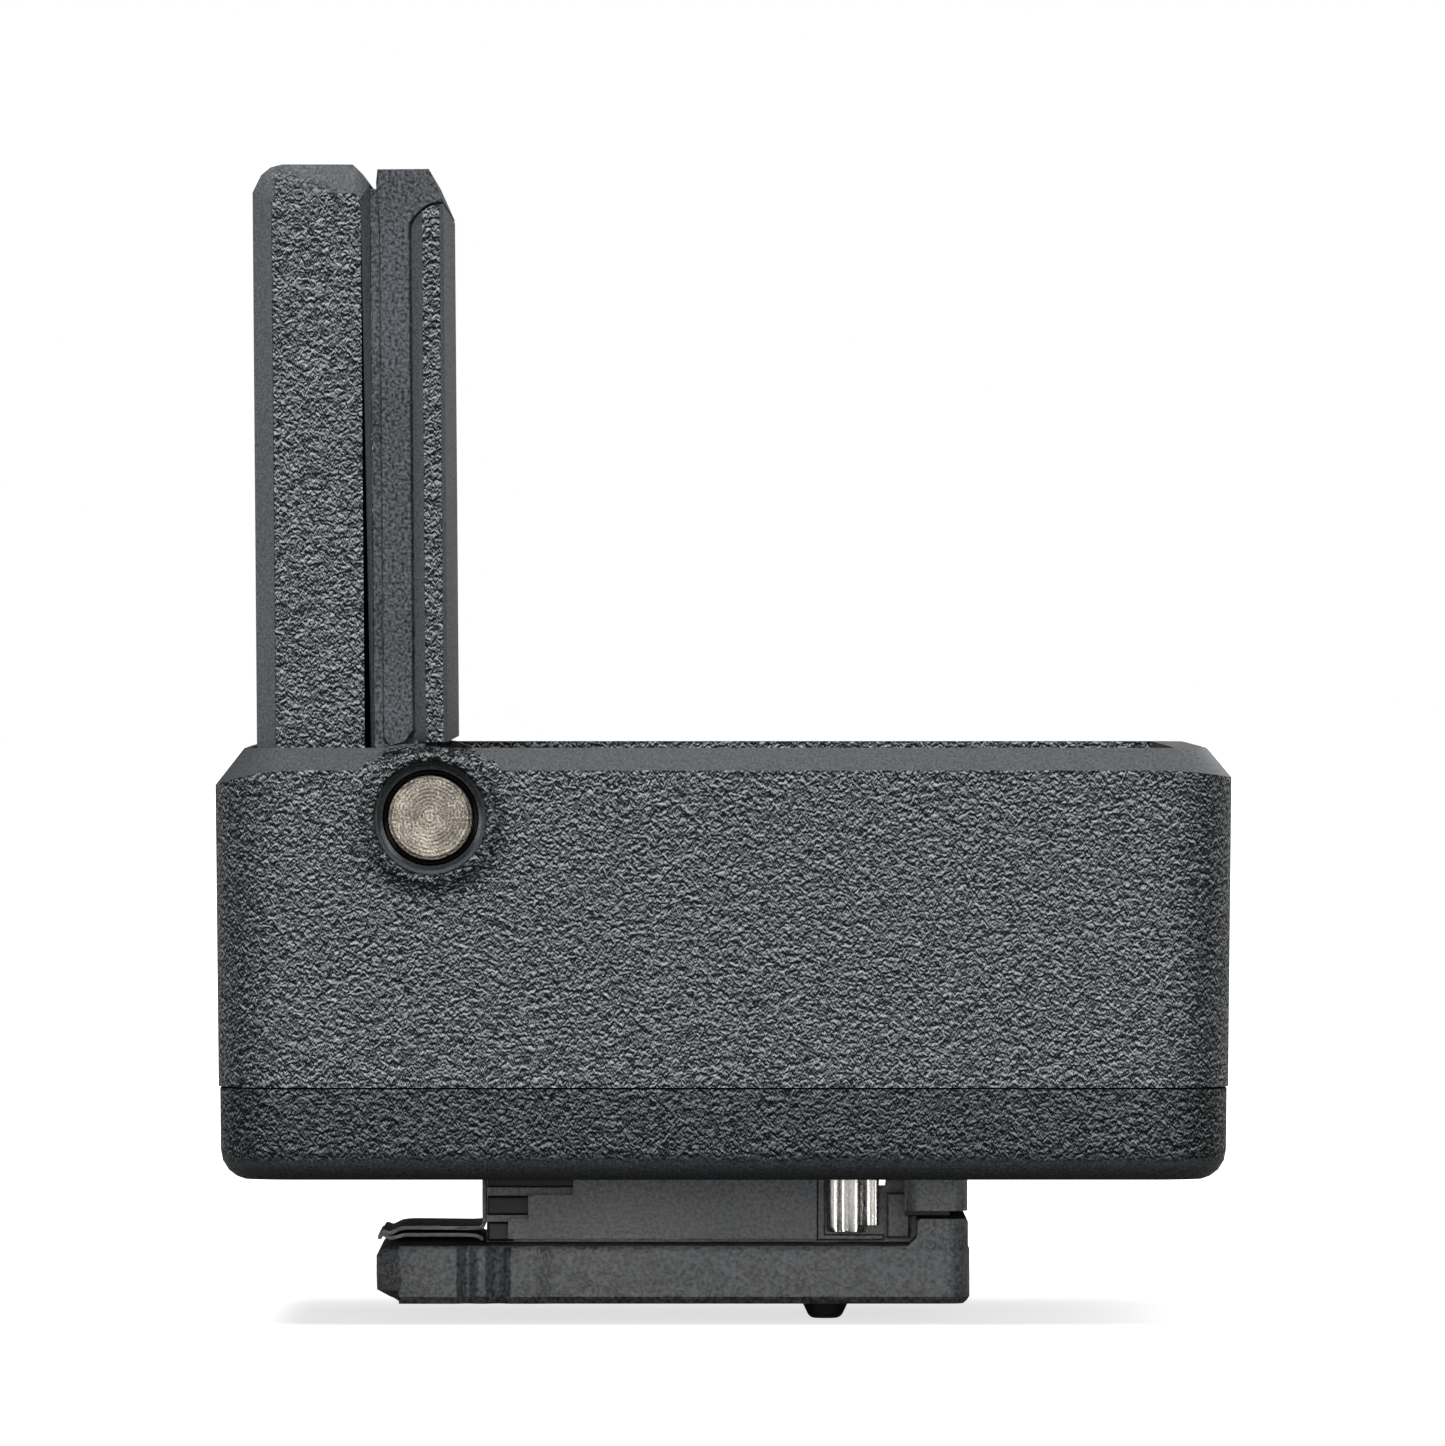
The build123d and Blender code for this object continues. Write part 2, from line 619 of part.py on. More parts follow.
with BuildPart() as head_front_shell:
    # front of the head with its rounded lower end; the rear is open
    with BuildSketch(head_side(-HEAD_HALF)):
        with BuildLine():
            low = -sqrt(BARREL_R**2 - SHELL_U_REAR**2)
            middle = (-BARREL_R * cos(radians(32)), -BARREL_R * sin(radians(32)))
            Line((SHELL_U_REAR, low), (SHELL_U_REAR, FRAME_TOP - 0.5))
            Line((SHELL_U_REAR, FRAME_TOP - 0.5), (-2.5, HEAD_TOP))
            Line((-2.5, HEAD_TOP), (-5.2, HEAD_TOP))
            Line((-5.2, HEAD_TOP), (-BARREL_R, HEAD_TOP - 1.0))
            Line((-BARREL_R, HEAD_TOP - 1.0), (-BARREL_R, 0))
            ThreePointArc((-BARREL_R, 0), middle, (SHELL_U_REAR, low))
        make_face()
    extrude(amount=2 * HEAD_HALF)
    sides = head_front_shell.faces().filter_by(Axis.Y)
    rim = [edge for edge in sides.edges() if edge.center().Z > HINGE_Z + 1 and edge.length > 0.6]
    chamfer([edge for edge in rim if depth_of(edge) < SHELL_U_REAR - 0.6], 0.5)
    with BuildSketch(head_side(-CAVITY_HALF)):
        with Locations(((FRONT_INNER + SHELL_U_REAR) / 2, (CAVITY_LOW + CAVITY_TOP) / 2)):
            Rectangle(SHELL_U_REAR - FRONT_INNER, CAVITY_TOP - CAVITY_LOW)
    extrude(amount=2 * CAVITY_HALF, mode=Mode.SUBTRACT)
    with BuildSketch(head_front(SHELL_U_REAR)):
        with Locations(*post_spots):
            Circle(1.1)
    extrude(amount=-(FRONT_INNER - SHELL_U_REAR) - 0.6)
    with BuildSketch(head_front(SHELL_U_REAR)):
        with Locations(*post_spots):
            Circle(0.5)
    extrude(amount=1.9, mode=Mode.SUBTRACT)
    with BuildSketch(head_front(FRONT_INNER + 0.01)):
        with Locations((0, (WINDOW[1] + WINDOW[2]) / 2)):
            RectangleRounded(2 * WINDOW[0], WINDOW[2] - WINDOW[1], 0.6)
    extrude(amount=SHELL_WALL + 1, mode=Mode.SUBTRACT)
finish(head_front_shell.part, "head_front_shell")

window_middle = (WINDOW[1] + WINDOW[2]) / 2
window_height = WINDOW[2] - WINDOW[1]
FRESNEL_PITCH = 0.75

with BuildPart() as flash_window:
    # front panel of the flash, ribbed inside to spread the light
    with BuildSketch(head_front(FRONT_INNER)):
        with Locations((0, window_middle)):
            RectangleRounded(2 * WINDOW[0] - 0.06, window_height - 0.06, 0.6)
    extrude(amount=SHELL_WALL - 0.15)
    with BuildSketch(head_front(FRONT_INNER - 0.02 + 0.55)):
        with Locations((0, window_middle)):
            Rectangle(2 * WINDOW[0] + 0.8, window_height + 0.8)
    extrude(amount=0.53)
    rib_count = round((window_height - 1.5) / FRESNEL_PITCH)
    with BuildSketch(head_side(-WINDOW[0] + 0.4)):
        for i in range(rib_count):
            w = window_middle + (i - (rib_count - 1) / 2) * FRESNEL_PITCH
            u = FRONT_INNER + 0.53
            with BuildLine():
                Polyline((u, w - 0.3), (u, w + 0.3), (u - 0.3, w + 0.3 * (1 if w > window_middle else -1)), close=True)
            make_face()
    extrude(amount=2 * WINDOW[0] - 0.8, mode=Mode.SUBTRACT)
finish(flash_window.part, "flash_window")

TUBE_U = -1.9
REFLECTOR_HALF = 13.2
tube_w = window_middle
mouth_u = FRONT_INNER + 0.6
MOUTH_HALF = 5.6
REFLECTOR_BACK = -0.62
FOIL = 0.22

with BuildPart() as reflector:
    # polished trough behind the tube, closed by a plate at each end
    with BuildSketch(head_side(-REFLECTOR_HALF)):
        with BuildLine():
            ThreePointArc(
                (mouth_u, tube_w - MOUTH_HALF), (REFLECTOR_BACK, tube_w), (mouth_u, tube_w + MOUTH_HALF)
            )
            Line((mouth_u, tube_w + MOUTH_HALF), (mouth_u, tube_w + MOUTH_HALF - FOIL - 0.1))
            ThreePointArc(
                (mouth_u, tube_w + MOUTH_HALF - FOIL - 0.1),
                (REFLECTOR_BACK - FOIL, tube_w),
                (mouth_u, tube_w - MOUTH_HALF + FOIL + 0.1),
            )
            Line((mouth_u, tube_w - MOUTH_HALF + FOIL + 0.1), (mouth_u, tube_w - MOUTH_HALF))
        make_face()
    extrude(amount=2 * REFLECTOR_HALF)
    for side in (-1, 1):
        with BuildSketch(head_side(side * REFLECTOR_HALF)):
            with BuildLine():
                ThreePointArc(
                    (mouth_u, tube_w - MOUTH_HALF), (REFLECTOR_BACK, tube_w), (mouth_u, tube_w + MOUTH_HALF)
                )
                Line((mouth_u, tube_w + MOUTH_HALF), (mouth_u, tube_w - MOUTH_HALF))
            make_face()
            with Locations((TUBE_U, tube_w)):
                Circle(1.12, mode=Mode.SUBTRACT)
        extrude(amount=side * FOIL)
finish(reflector.part, "reflector")

TUBE_R = 1.05
TUBE_HALF = 12.4

with BuildPart() as flash_tube:
    with BuildSketch(head_side(-TUBE_HALF)):
        with Locations((TUBE_U, tube_w)):
            Circle(TUBE_R)
            Circle(TUBE_R - 0.3, mode=Mode.SUBTRACT)
    extrude(amount=2 * TUBE_HALF)
finish(flash_tube.part, "flash_tube")

with BuildPart() as tube_electrodes:
    # sealed metal ends with their lead wires
    for side in (-1, 1):
        with BuildSketch(head_side(side * (TUBE_HALF - 1.6))):
            with Locations((TUBE_U, tube_w)):
                Circle(TUBE_R - 0.32)
        extrude(amount=side * 1.58)
        with BuildSketch(head_side(side * TUBE_HALF)):
            with Locations((TUBE_U, tube_w)):
                Circle(TUBE_R)
        extrude(amount=side * 0.5)
        with BuildSketch(head_side(side * (TUBE_HALF + 0.4))):
            with Locations((TUBE_U, tube_w)):
                Circle(0.35)
        extrude(amount=side * 2.6)
finish(tube_electrodes.part, "tube_electrodes")

with BuildPart() as tube_boots:
    # silicone sleeves over the electrode leads
    for side in (-1, 1):
        with BuildSketch(head_side(side * (REFLECTOR_HALF + 0.4))):
            with Locations((TUBE_U, tube_w)):
                Circle(1.1)
                Circle(0.37, mode=Mode.SUBTRACT)
        extrude(amount=side * 1.7)
finish(tube_boots.part, "tube_boots")

HEAD_BOARD_U = (-0.95, -0.4)
HEAD_BOARD_W = (3.0, 7.4)

with BuildPart() as head_board:
    with BuildSketch(head_front(HEAD_BOARD_U[1])):
        with Locations((0, sum(HEAD_BOARD_W) / 2)):
            Rectangle(25, HEAD_BOARD_W[1] - HEAD_BOARD_W[0])
    extrude(amount=HEAD_BOARD_U[1] - HEAD_BOARD_U[0])
finish(head_board.part, "head_board")

with BuildPart() as trigger_coil:
    # bobbin that fires the tube, with its two end flanges
    with BuildSketch(head_side(2)):
        with Locations((-2.75, 5.2)):
            Circle(1.45)
    extrude(amount=7)
    for flange in (2, 8.4):
        with BuildSketch(head_side(flange)):
            with Locations((-2.75, 5.2)):
                Rectangle(3.5, 3.6)
        extrude(amount=0.6)
finish(trigger_coil.part, "trigger_coil")

WIRE_U = -1.35
WIRE_OUT = 11.4
WIRE_R = 0.3

with BuildPart() as head_wires:
    # leads from the hollow barrel up to the head's board
    for row in (-1, 0, 1):
        with BuildLine(head_side(WIRE_OUT + row * 0.8)) as wire_path:
            FilletPolyline((1.6, -3.1), (WIRE_U, -3.1), (WIRE_U, 4.4), radius=0.8)
        with BuildSketch(Plane(origin=wire_path.line @ 0, z_dir=wire_path.line % 0)):
            Circle(WIRE_R)
        sweep(path=wire_path.line)
finish(head_wires.part, "head_wires")

with BuildPart() as head_inner_frame:
    # rear part of the barrel, flush with the front shell's rounded end
    with BuildSketch(head_side(-HEAD_HALF)):
        with BuildLine():
            joint = SHELL_U_REAR + 0.02
            low = -sqrt(BARREL_R**2 - joint**2)
            middle = (BARREL_R * cos(radians(55)), -BARREL_R * sin(radians(55)))
            ThreePointArc((joint, low), middle, (barrel_tip, BARREL_FLAT))
            Line((barrel_tip, BARREL_FLAT), (COVER_U_FRONT, BARREL_FLAT))
            Line((COVER_U_FRONT, BARREL_FLAT), (COVER_U_FRONT, CAVITY_LOW))
            Line((COVER_U_FRONT, CAVITY_LOW), (joint, CAVITY_LOW))
            Line((joint, CAVITY_LOW), (joint, low))
        make_face()
    extrude(amount=2 * HEAD_HALF)
    # eye round each hinge pin
    with BuildSketch(head_side(-HEAD_HALF)):
        Circle(EYE_R)
        with Locations((joint - 2, 0)):
            Rectangle(4, 8, mode=Mode.SUBTRACT)
    extrude(amount=2 * HEAD_HALF)
    # plate that closes the front shell, wider at its smooth outer band
    with BuildSketch(head_side(-HEAD_HALF + 0.25)):
        with Locations(((joint + COVER_U_FRONT) / 2, (CAVITY_LOW + FRAME_TOP - 0.25) / 2)):
            Rectangle(COVER_U_FRONT - joint, FRAME_TOP - 0.25 - CAVITY_LOW)
    extrude(amount=2 * HEAD_HALF - 0.5)
    with BuildSketch(head_side(-HEAD_HALF)):
        with BuildLine():
            Polyline(
                (FRAME_U[0], CAVITY_LOW),
                (FRAME_U[0], FRAME_TOP),
                (0.09, FRAME_TOP),
                (HEAD_U_REAR, 20.91),
                (HEAD_U_REAR, COVER_TOP + 0.05),
                (FRAME_U[1], COVER_TOP + 0.05),
                (FRAME_U[1], CAVITY_LOW),
                close=True,
            )
        make_face()
    extrude(amount=2 * HEAD_HALF)
    # openings for the reflector, and for the trigger coil's board
    with BuildSketch(head_side(-14.0)):
        with Locations((-1.0, tube_w)):
            Rectangle(4, 12.2)
        with Locations((-1.0, 5.2)):
            Rectangle(4, 4.8)
    extrude(amount=28, mode=Mode.SUBTRACT)
    with BuildSketch(head_side(-15.6)):
        with Locations((-1.0, tube_w)):
            Rectangle(4, 3)
    extrude(amount=31.2, mode=Mode.SUBTRACT)
    # hollow barrel between its two cheeks, which the pins pass through
    with BuildSketch(head_side(-CHEEK_INNER)):
        with BuildLine():
            Polyline((WIRE_U, -4.3), (2.6, -4.3), (3.9, -2.2), (0, -1.5), (WIRE_U, -1.5), close=True)
        make_face()
        Circle(1.9)
    extrude(amount=2 * CHEEK_INNER, mode=Mode.SUBTRACT)
    # passage for the wires, between the barrel and the head
    with BuildSketch(head_side(WIRE_OUT - 2)):
        with Locations((WIRE_U + 0.15, -0.4)):
            Rectangle(1.2, 6.8)
    extrude(amount=4, mode=Mode.SUBTRACT)
    with BuildSketch(head_side(-HEAD_HALF - 1)):
        Circle(PIN_R + PIN_GRIP)
    extrude(amount=2 * HEAD_HALF + 2, mode=Mode.SUBTRACT)
    with BuildSketch(head_front(SHELL_U_REAR)):
        with Locations(*post_spots):
            Circle(0.55)
    extrude(amount=-3, mode=Mode.SUBTRACT)
    with BuildSketch(head_front(COVER_U_FRONT - 0.55)):
        with Locations(*post_spots):
            Circle(1.0)
    extrude(amount=-3, mode=Mode.SUBTRACT)
finish(head_inner_frame.part, "head_inner_frame")

with BuildPart() as head_screws:
    with BuildSketch(head_front(COVER_U_FRONT - 0.06)):
        with Locations(*post_spots):
            Circle(0.92)
    extrude(amount=0.47)
    with BuildSketch(head_front(COVER_U_FRONT - 0.5)):
        with Locations(*post_spots):
            Circle(0.45)
    extrude(amount=2.7)
finish(head_screws.part, "head_screws")

with BuildPart() as head_rear_cover:
    # thin rear cover, chamfered at its top corner
    with BuildSketch(head_side(-HEAD_HALF)):
        with BuildLine():
            Polyline(
                (COVER_U_FRONT + 0.02, CAVITY_LOW + 0.05),
                (COVER_U_FRONT + 0.02, COVER_TOP),
                (HEAD_U_REAR, COVER_TOP),
                (HEAD_U_REAR, CAVITY_LOW + 0.05),
                close=True,
            )
        make_face()
    extrude(amount=2 * HEAD_HALF)
    upright = [edge for edge in head_rear_cover.edges() if edge.length > 15 and abs(edge.center().Y) > 17]
    chamfer([edge for edge in upright if depth_of(edge) > HEAD_U_REAR - 0.1], 0.3)
finish(head_rear_cover.part, "head_rear_cover")
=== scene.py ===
import json
from math import atan2, cos, hypot, pi, radians, sin, sqrt

import bmesh
import bpy
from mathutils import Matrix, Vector


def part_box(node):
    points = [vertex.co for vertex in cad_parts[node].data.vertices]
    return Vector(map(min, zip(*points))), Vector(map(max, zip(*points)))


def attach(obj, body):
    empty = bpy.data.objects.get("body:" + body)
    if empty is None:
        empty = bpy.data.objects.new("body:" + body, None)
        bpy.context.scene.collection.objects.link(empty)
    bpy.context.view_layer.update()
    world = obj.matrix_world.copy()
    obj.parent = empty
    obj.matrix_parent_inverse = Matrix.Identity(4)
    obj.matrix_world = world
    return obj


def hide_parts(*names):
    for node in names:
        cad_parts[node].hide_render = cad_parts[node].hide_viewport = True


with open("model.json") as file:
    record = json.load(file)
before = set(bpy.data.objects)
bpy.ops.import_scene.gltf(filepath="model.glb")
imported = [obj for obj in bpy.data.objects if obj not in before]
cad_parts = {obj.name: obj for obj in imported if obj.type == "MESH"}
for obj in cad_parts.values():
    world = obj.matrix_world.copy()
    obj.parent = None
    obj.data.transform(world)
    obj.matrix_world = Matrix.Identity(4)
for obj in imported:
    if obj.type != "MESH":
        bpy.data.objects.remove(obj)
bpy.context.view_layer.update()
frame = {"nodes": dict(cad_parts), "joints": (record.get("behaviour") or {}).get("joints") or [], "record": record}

MM = 0.001
SCENE = bpy.context.scene

# ---------------------------------------------------------------- sizes, in millimetres, some read from the frame

hinge = next(joint for joint in frame["joints"] if joint["name"] == "head_fold")
HINGE_X = hinge["pos_m"][0] / MM
HINGE_Z = hinge["pos_m"][2] / MM


def span(node):
    """Lowest and highest corner of a CAD node, in millimetres."""
    low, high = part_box(node)
    return low / MM, high / MM


housing_low, housing_high = span("base_housing")
cover_low, cover_high = span("bottom_cover")
plate_high = span("foot_plate")[1]
neck_low, neck_high = span("foot_neck")

BODY_FRONT = housing_low.x
BODY_REAR = housing_high.x
BODY_TOP = housing_high.z
SEAM = housing_low.z
BODY_HALF = 20.0
BODY_CORNER = 2.8
DRAFT = 0.0105
BOSS_PROUD = housing_high.y - BODY_HALF
HEAD_HALF = span("head_front_shell")[1].y
LEAN = radians(0.45)
BARREL_R = 5.92
WELL_R = 6.15
PIN_HOLE_R = 1.64
BOSS_HOLE_R = 1.78
BOSS_DEEP = 1.05
TRAY_FLOOR = 16.1
TRAY_REAR = 17.1
TRAY_HALF = 17.8

# ---------------------------------------------------------------- mesh tools


def place(points):
    """Points in millimetres as points in metres."""
    return [Vector(point) * MM for point in points]


def head_point(u, y, w):
    """A point of the head: u behind the hinge axis, w up the head, y across."""
    x = HINGE_X + u * cos(LEAN) - w * sin(LEAN)
    z = HINGE_Z + u * sin(LEAN) + w * cos(LEAN)
    return (x, y, z)


def new_object(name, mesh):
    piece = bpy.data.objects.new(name, mesh)
    SCENE.collection.objects.link(piece)
    return piece


def loft(name, rings, closed=False):
    """Quads between rings of equally many points; the first and last ring are capped unless closed."""
    made = bmesh.new()
    loops = [[made.verts.new(co) for co in place(ring)] for ring in rings]
    pairs = list(zip(loops, loops[1:] + loops[:1])) if closed else list(zip(loops, loops[1:]))
    for low, high in pairs:
        for i in range(len(low)):
            j = (i + 1) % len(low)
            made.faces.new((low[i], low[j], high[j], high[i]))
    if not closed:
        made.faces.new(list(reversed(loops[0])))
        made.faces.new(loops[-1])
    bmesh.ops.recalc_face_normals(made, faces=made.faces)
    mesh = bpy.data.meshes.new(name)
    made.to_mesh(mesh)
    made.free()
    return new_object(name, mesh)


def revolve(name, profile, origin, axis="Y", steps=96):
    """A closed profile of (radius, distance along the axis) turned about an axis through origin."""
    rings = []
    for i in range(steps):
        turn = 2 * pi * i / steps
        ring = []
        for radius, along in profile:
            a, b = radius * cos(turn), radius * sin(turn)
            offset = (a, along, b) if axis == "Y" else (a, b, along)
            ring.append(Vector(origin) + Vector(offset))
        rings.append(ring)
    piece = loft(name, rings, closed=True)
    made = bmesh.new()
    made.from_mesh(piece.data)
    bmesh.ops.remove_doubles(made, verts=made.verts, dist=1e-7)
    bmesh.ops.dissolve_degenerate(made, dist=1e-8, edges=made.edges)
    bmesh.ops.recalc_face_normals(made, faces=made.faces)
    made.to_mesh(piece.data)
    made.free()
    return piece


def apply_modifiers(piece):
    graph = bpy.context.evaluated_depsgraph_get()
    graph.update()
    mesh = bpy.data.meshes.new_from_object(piece.evaluated_get(graph))
    piece.modifiers.clear()
    piece.data = mesh


def boolean(piece, other, how):
    """Cuts, joins or intersects piece with other, which is used up."""
    modifier = piece.modifiers.new(how, "BOOLEAN")
    modifier.operation = how
    modifier.solver = "EXACT"
    modifier.object = other
    apply_modifiers(piece)
    bpy.data.objects.remove(other)
    return piece


def cut(piece, other):
    return boolean(piece, other, "DIFFERENCE")


def weld(piece, other):
    return boolean(piece, other, "UNION")


def soften(piece, width, segments=2, angle=28):
    """Rounds every edge sharper than the angle, and shades the piece smooth."""
    for polygon in piece.data.polygons:
        polygon.use_smooth = True
    bevel = piece.modifiers.new("edges", "BEVEL")
    bevel.width = width * MM
    bevel.segments = segments
    bevel.limit_method = "ANGLE"
    bevel.angle_limit = radians(angle)
    bevel.harden_normals = True
    bevel.miter_outer = "MITER_ARC"
    return piece


def shade(piece, angle=30):
    """Smooth shading that keeps edges over the angle sharp."""
    for polygon in piece.data.polygons:
        polygon.use_smooth = True
    made = bmesh.new()
    made.from_mesh(piece.data)
    for edge in made.edges:
        edge.smooth = not (edge.is_manifold and edge.calc_face_angle(0) > radians(angle))
    made.to_mesh(piece.data)
    made.free()
    return piece


def box_piece(name, low, high):
    ring = [(low[0], low[1]), (high[0], low[1]), (high[0], high[1]), (low[0], high[1])]
    return loft(name, [[(x, y, z) for x, y in ring] for z in (low[2], high[2])])


def rod(name, centre, radius, length, axis, steps=64):
    """A plain round bar for cutting and joining, from centre along the axis."""
    turns = [2 * pi * i / steps for i in range(steps)]
    rings = []
    for along in (0, length):
        if axis == "Y":
            ring = [(centre[0] + radius * cos(t), centre[1] + along, centre[2] + radius * sin(t)) for t in turns]
        else:
            ring = [(centre[0] + radius * cos(t), centre[1] + radius * sin(t), centre[2] + along) for t in turns]
        rings.append(ring)
    return loft(name, rings)


def corner_ring(x0, x1, y0, y1, radius, z, steps=10):
    """A rounded rectangle, as (x, y, z, outward x, outward y) for each point."""
    ring = []
    centres = [(x1 - radius, y1 - radius, 0), (x0 + radius, y1 - radius, 90)]
    centres += [(x0 + radius, y0 + radius, 180), (x1 - radius, y0 + radius, 270)]
    for cx, cy, start in centres:
        for i in range(steps + 1):
            turn = radians(start + 90 * i / steps)
            ring.append((cx + radius * cos(turn), cy + radius * sin(turn), z, cos(turn), sin(turn)))
    return ring


def inset_outline(points, distance_of):
    """Moves each edge of a closed outline inwards by its own distance; the outline runs anticlockwise."""
    count = len(points)
    lines = []
    for i in range(count):
        (x0, y0), (x1, y1) = points[i], points[(i + 1) % count]
        length = hypot(x1 - x0, y1 - y0)
        nx, ny = (y1 - y0) / length, -(x1 - x0) / length
        lines.append((nx, ny, nx * x0 + ny * y0 - distance_of(nx, ny)))
    result = []
    for i in range(count):
        (ax, ay, ac), (bx, by, bc) = lines[i - 1], lines[i]
        det = ax * by - ay * bx
        if abs(det) < 0.02:
            x, y = points[i]
            nx, ny = (ax + bx) / 2, (ay + by) / 2
            d = (nx * x + ny * y) - (ac + bc) / 2
            result.append((x - nx * d, y - ny * d))
        else:
            result.append(((ac * by - bc * ay) / det, (ax * bc - bx * ac) / det))
    return result


def across_head(name, outline, layers):
    """Lofts a side outline (u, w) of the head across y. layers are (y, inset distance function)."""
    rings = []
    for y, distance_of in layers:
        ring = inset_outline(outline, distance_of) if distance_of else outline
        rings.append([head_point(u, y, w) for u, w in ring])
    return loft(name, rings)


def arc(radius, start, stop, steps, centre=(0, 0)):
    """Points on an arc, in degrees anticlockwise from +u."""
    turns = [radians(start + (stop - start) * i / steps) for i in range(steps + 1)]
    return [(centre[0] + radius * cos(t), centre[1] + radius * sin(t)) for t in turns]


# ---------------------------------------------------------------- materials


class Surface:
    """A node material with short calls for the nodes used here."""

    def __init__(self, name):
        self.material = bpy.data.materials.new(name)
        self.material.use_nodes = True
        self.nodes = self.material.node_tree.nodes
        self.links = self.material.node_tree.links
        self.shader = self.nodes["Principled BSDF"]
        self.place = self.nodes.new("ShaderNodeTexCoord")

    def set(self, **values):
        for name, value in values.items():
            self.shader.inputs[name.replace("_", " ")].default_value = value

    def node(self, kind, **inputs):
        made = self.nodes.new("ShaderNode" + kind)
        for name, value in inputs.items():
            socket = made.inputs[int(name[1:])] if name[1:].isdigit() else made.inputs[name]
            if hasattr(value, "is_linked") or hasattr(value, "links"):
                self.links.new(value, socket)
            else:
                socket.default_value = value
        return made

    def link(self, source, name):
        self.links.new(source, self.shader.inputs[name])

    def noise(self, size, detail=3.0, roughness=0.55, distortion=0.0, stretch=None, at=None):
        """Noise whose features are about this size in millimetres."""
        vector = at or self.place.outputs["Object"]
        if stretch:
            mapping = self.node("Mapping", Vector=vector)
            mapping.inputs["Scale"].default_value = stretch
            vector = mapping.outputs[0]
        made = self.node("TexNoise", Vector=vector, Scale=1 / (size * MM), Detail=detail)
        made.inputs["Roughness"].default_value = roughness
        made.inputs["Distortion"].default_value = distortion
        return made.outputs["Fac"]

    def cells(self, size, jitter=1.0, feature="F1"):
        """Cells about this size in millimetres."""
        made = self.nodes.new("ShaderNodeTexVoronoi")
        made.feature = feature
        self.links.new(self.place.outputs["Object"], made.inputs["Vector"])
        made.inputs["Scale"].default_value = 1 / (size * MM)
        made.inputs["Randomness"].default_value = jitter
        return made.outputs["Distance"]

    def math(self, how, a, b=0.0, c=None):
        made = self.nodes.new("ShaderNodeMath")
        made.operation = how
        for socket, value in zip(made.inputs, (a, b, c)):
            if value is None:
                continue
            if hasattr(value, "links"):
                self.links.new(value, socket)
            else:
                socket.default_value = value
        return made.outputs[0]

    def span(self, value, low, high, to_low, to_high):
        """The value from low..high, remapped and clamped."""
        made = self.node("MapRange")
        self.links.new(value, made.inputs["Value"])
        for name, number in zip(("From Min", "From Max", "To Min", "To Max"), (low, high, to_low, to_high)):
            made.inputs[name].default_value = number
        return made.outputs[0]

    def colours(self, value, stops):
        """A colour ramp; stops are (place, (r, g, b))."""
        made = self.node("ValToRGB")
        self.links.new(value, made.inputs[0])
        ramp = made.color_ramp
        while len(ramp.elements) < len(stops):
            ramp.elements.new(0.5)
        for element, (place_, colour) in zip(ramp.elements, stops):
            element.position = place_
            element.color = (*colour, 1)
        return made.outputs[0]

    def bump(self, height, depth, strength=1.0, under=None):
        """Raises the surface by height times depth millimetres."""
        made = self.node("Bump", Height=height)
        made.inputs["Distance"].default_value = depth * MM
        made.inputs["Strength"].default_value = strength
        if under is not None:
            self.links.new(under, made.inputs["Normal"])
        return made.outputs[0]


def plastic(name, colour, roughness=0.5, size=0.15, depth=0.006, spread=0.12, **extra):
    """Moulded plastic with a fine spark-eroded surface."""
    made = Surface(name)
    fine = made.noise(size, detail=4)
    broad = made.noise(6.0, detail=2)
    mixed = made.math("MULTIPLY_ADD", fine, 0.8, made.math("MULTIPLY", broad, 0.2))
    low = tuple(c * (1 - spread) for c in colour)
    high = tuple(c * (1 + spread) for c in colour)
    made.link(made.colours(mixed, [(0.38, low), (0.62, high)]), "Base Color")
    made.link(made.span(broad, 0.3, 0.7, roughness - 0.05, roughness + 0.05), "Roughness")
    made.link(made.bump(fine, depth), "Normal")
    made.set(**extra)
    return made.material


def metal(name, colour, roughness=0.3, size=0.08, depth=0.002, stretch=(1, 1, 1), spread=0.1, **extra):
    """Metal with fine marks, drawn out along the stretch."""
    made = Surface(name)
    marks = made.noise(size, detail=4, stretch=stretch)
    broad = made.noise(2.5, detail=3)
    low = tuple(c * (1 - spread) for c in colour)
    made.link(made.colours(broad, [(0.35, low), (0.65, colour)]), "Base Color")
    made.link(made.span(marks, 0.3, 0.7, roughness * 0.75, roughness * 1.3), "Roughness")
    made.link(made.bump(marks, depth), "Normal")
    made.set(Metallic=1.0, **extra)
    return made.material


PAINTED_LIGHT_STEP = 0.065
GRAIN_DEPTH = 0.11
GRAIN_LEVEL = 0.52
PAINTED_LIGHT_CONTRAST = 2.1
BEVEL_TONE = 0.04
GRAIN_COLOURS = [
    (0.24, (0.0016, 0.0018, 0.002)),
    (0.42, (0.01, 0.0112, 0.0124)),
    (0.6, (0.036, 0.0392, 0.0418)),
    (0.95, (0.13, 0.138, 0.145)),
]


def leather_relief(made, at):
    """Height of the leather grain: short wrinkles that run across, with sharp creases between them."""
    wrinkles = made.noise(0.175, detail=2.0, distortion=0.9, at=at)
    distance = made.math("ABSOLUTE", made.math("SUBTRACT", made.noise(0.24, detail=2.5, distortion=0.8, at=at), 0.5))
    creases = made.span(distance, 0.0, 0.05, 0.0, 1.0)
    return made.math("MULTIPLY_ADD", creases, 0.12, made.math("MULTIPLY", wrinkles, 0.8))


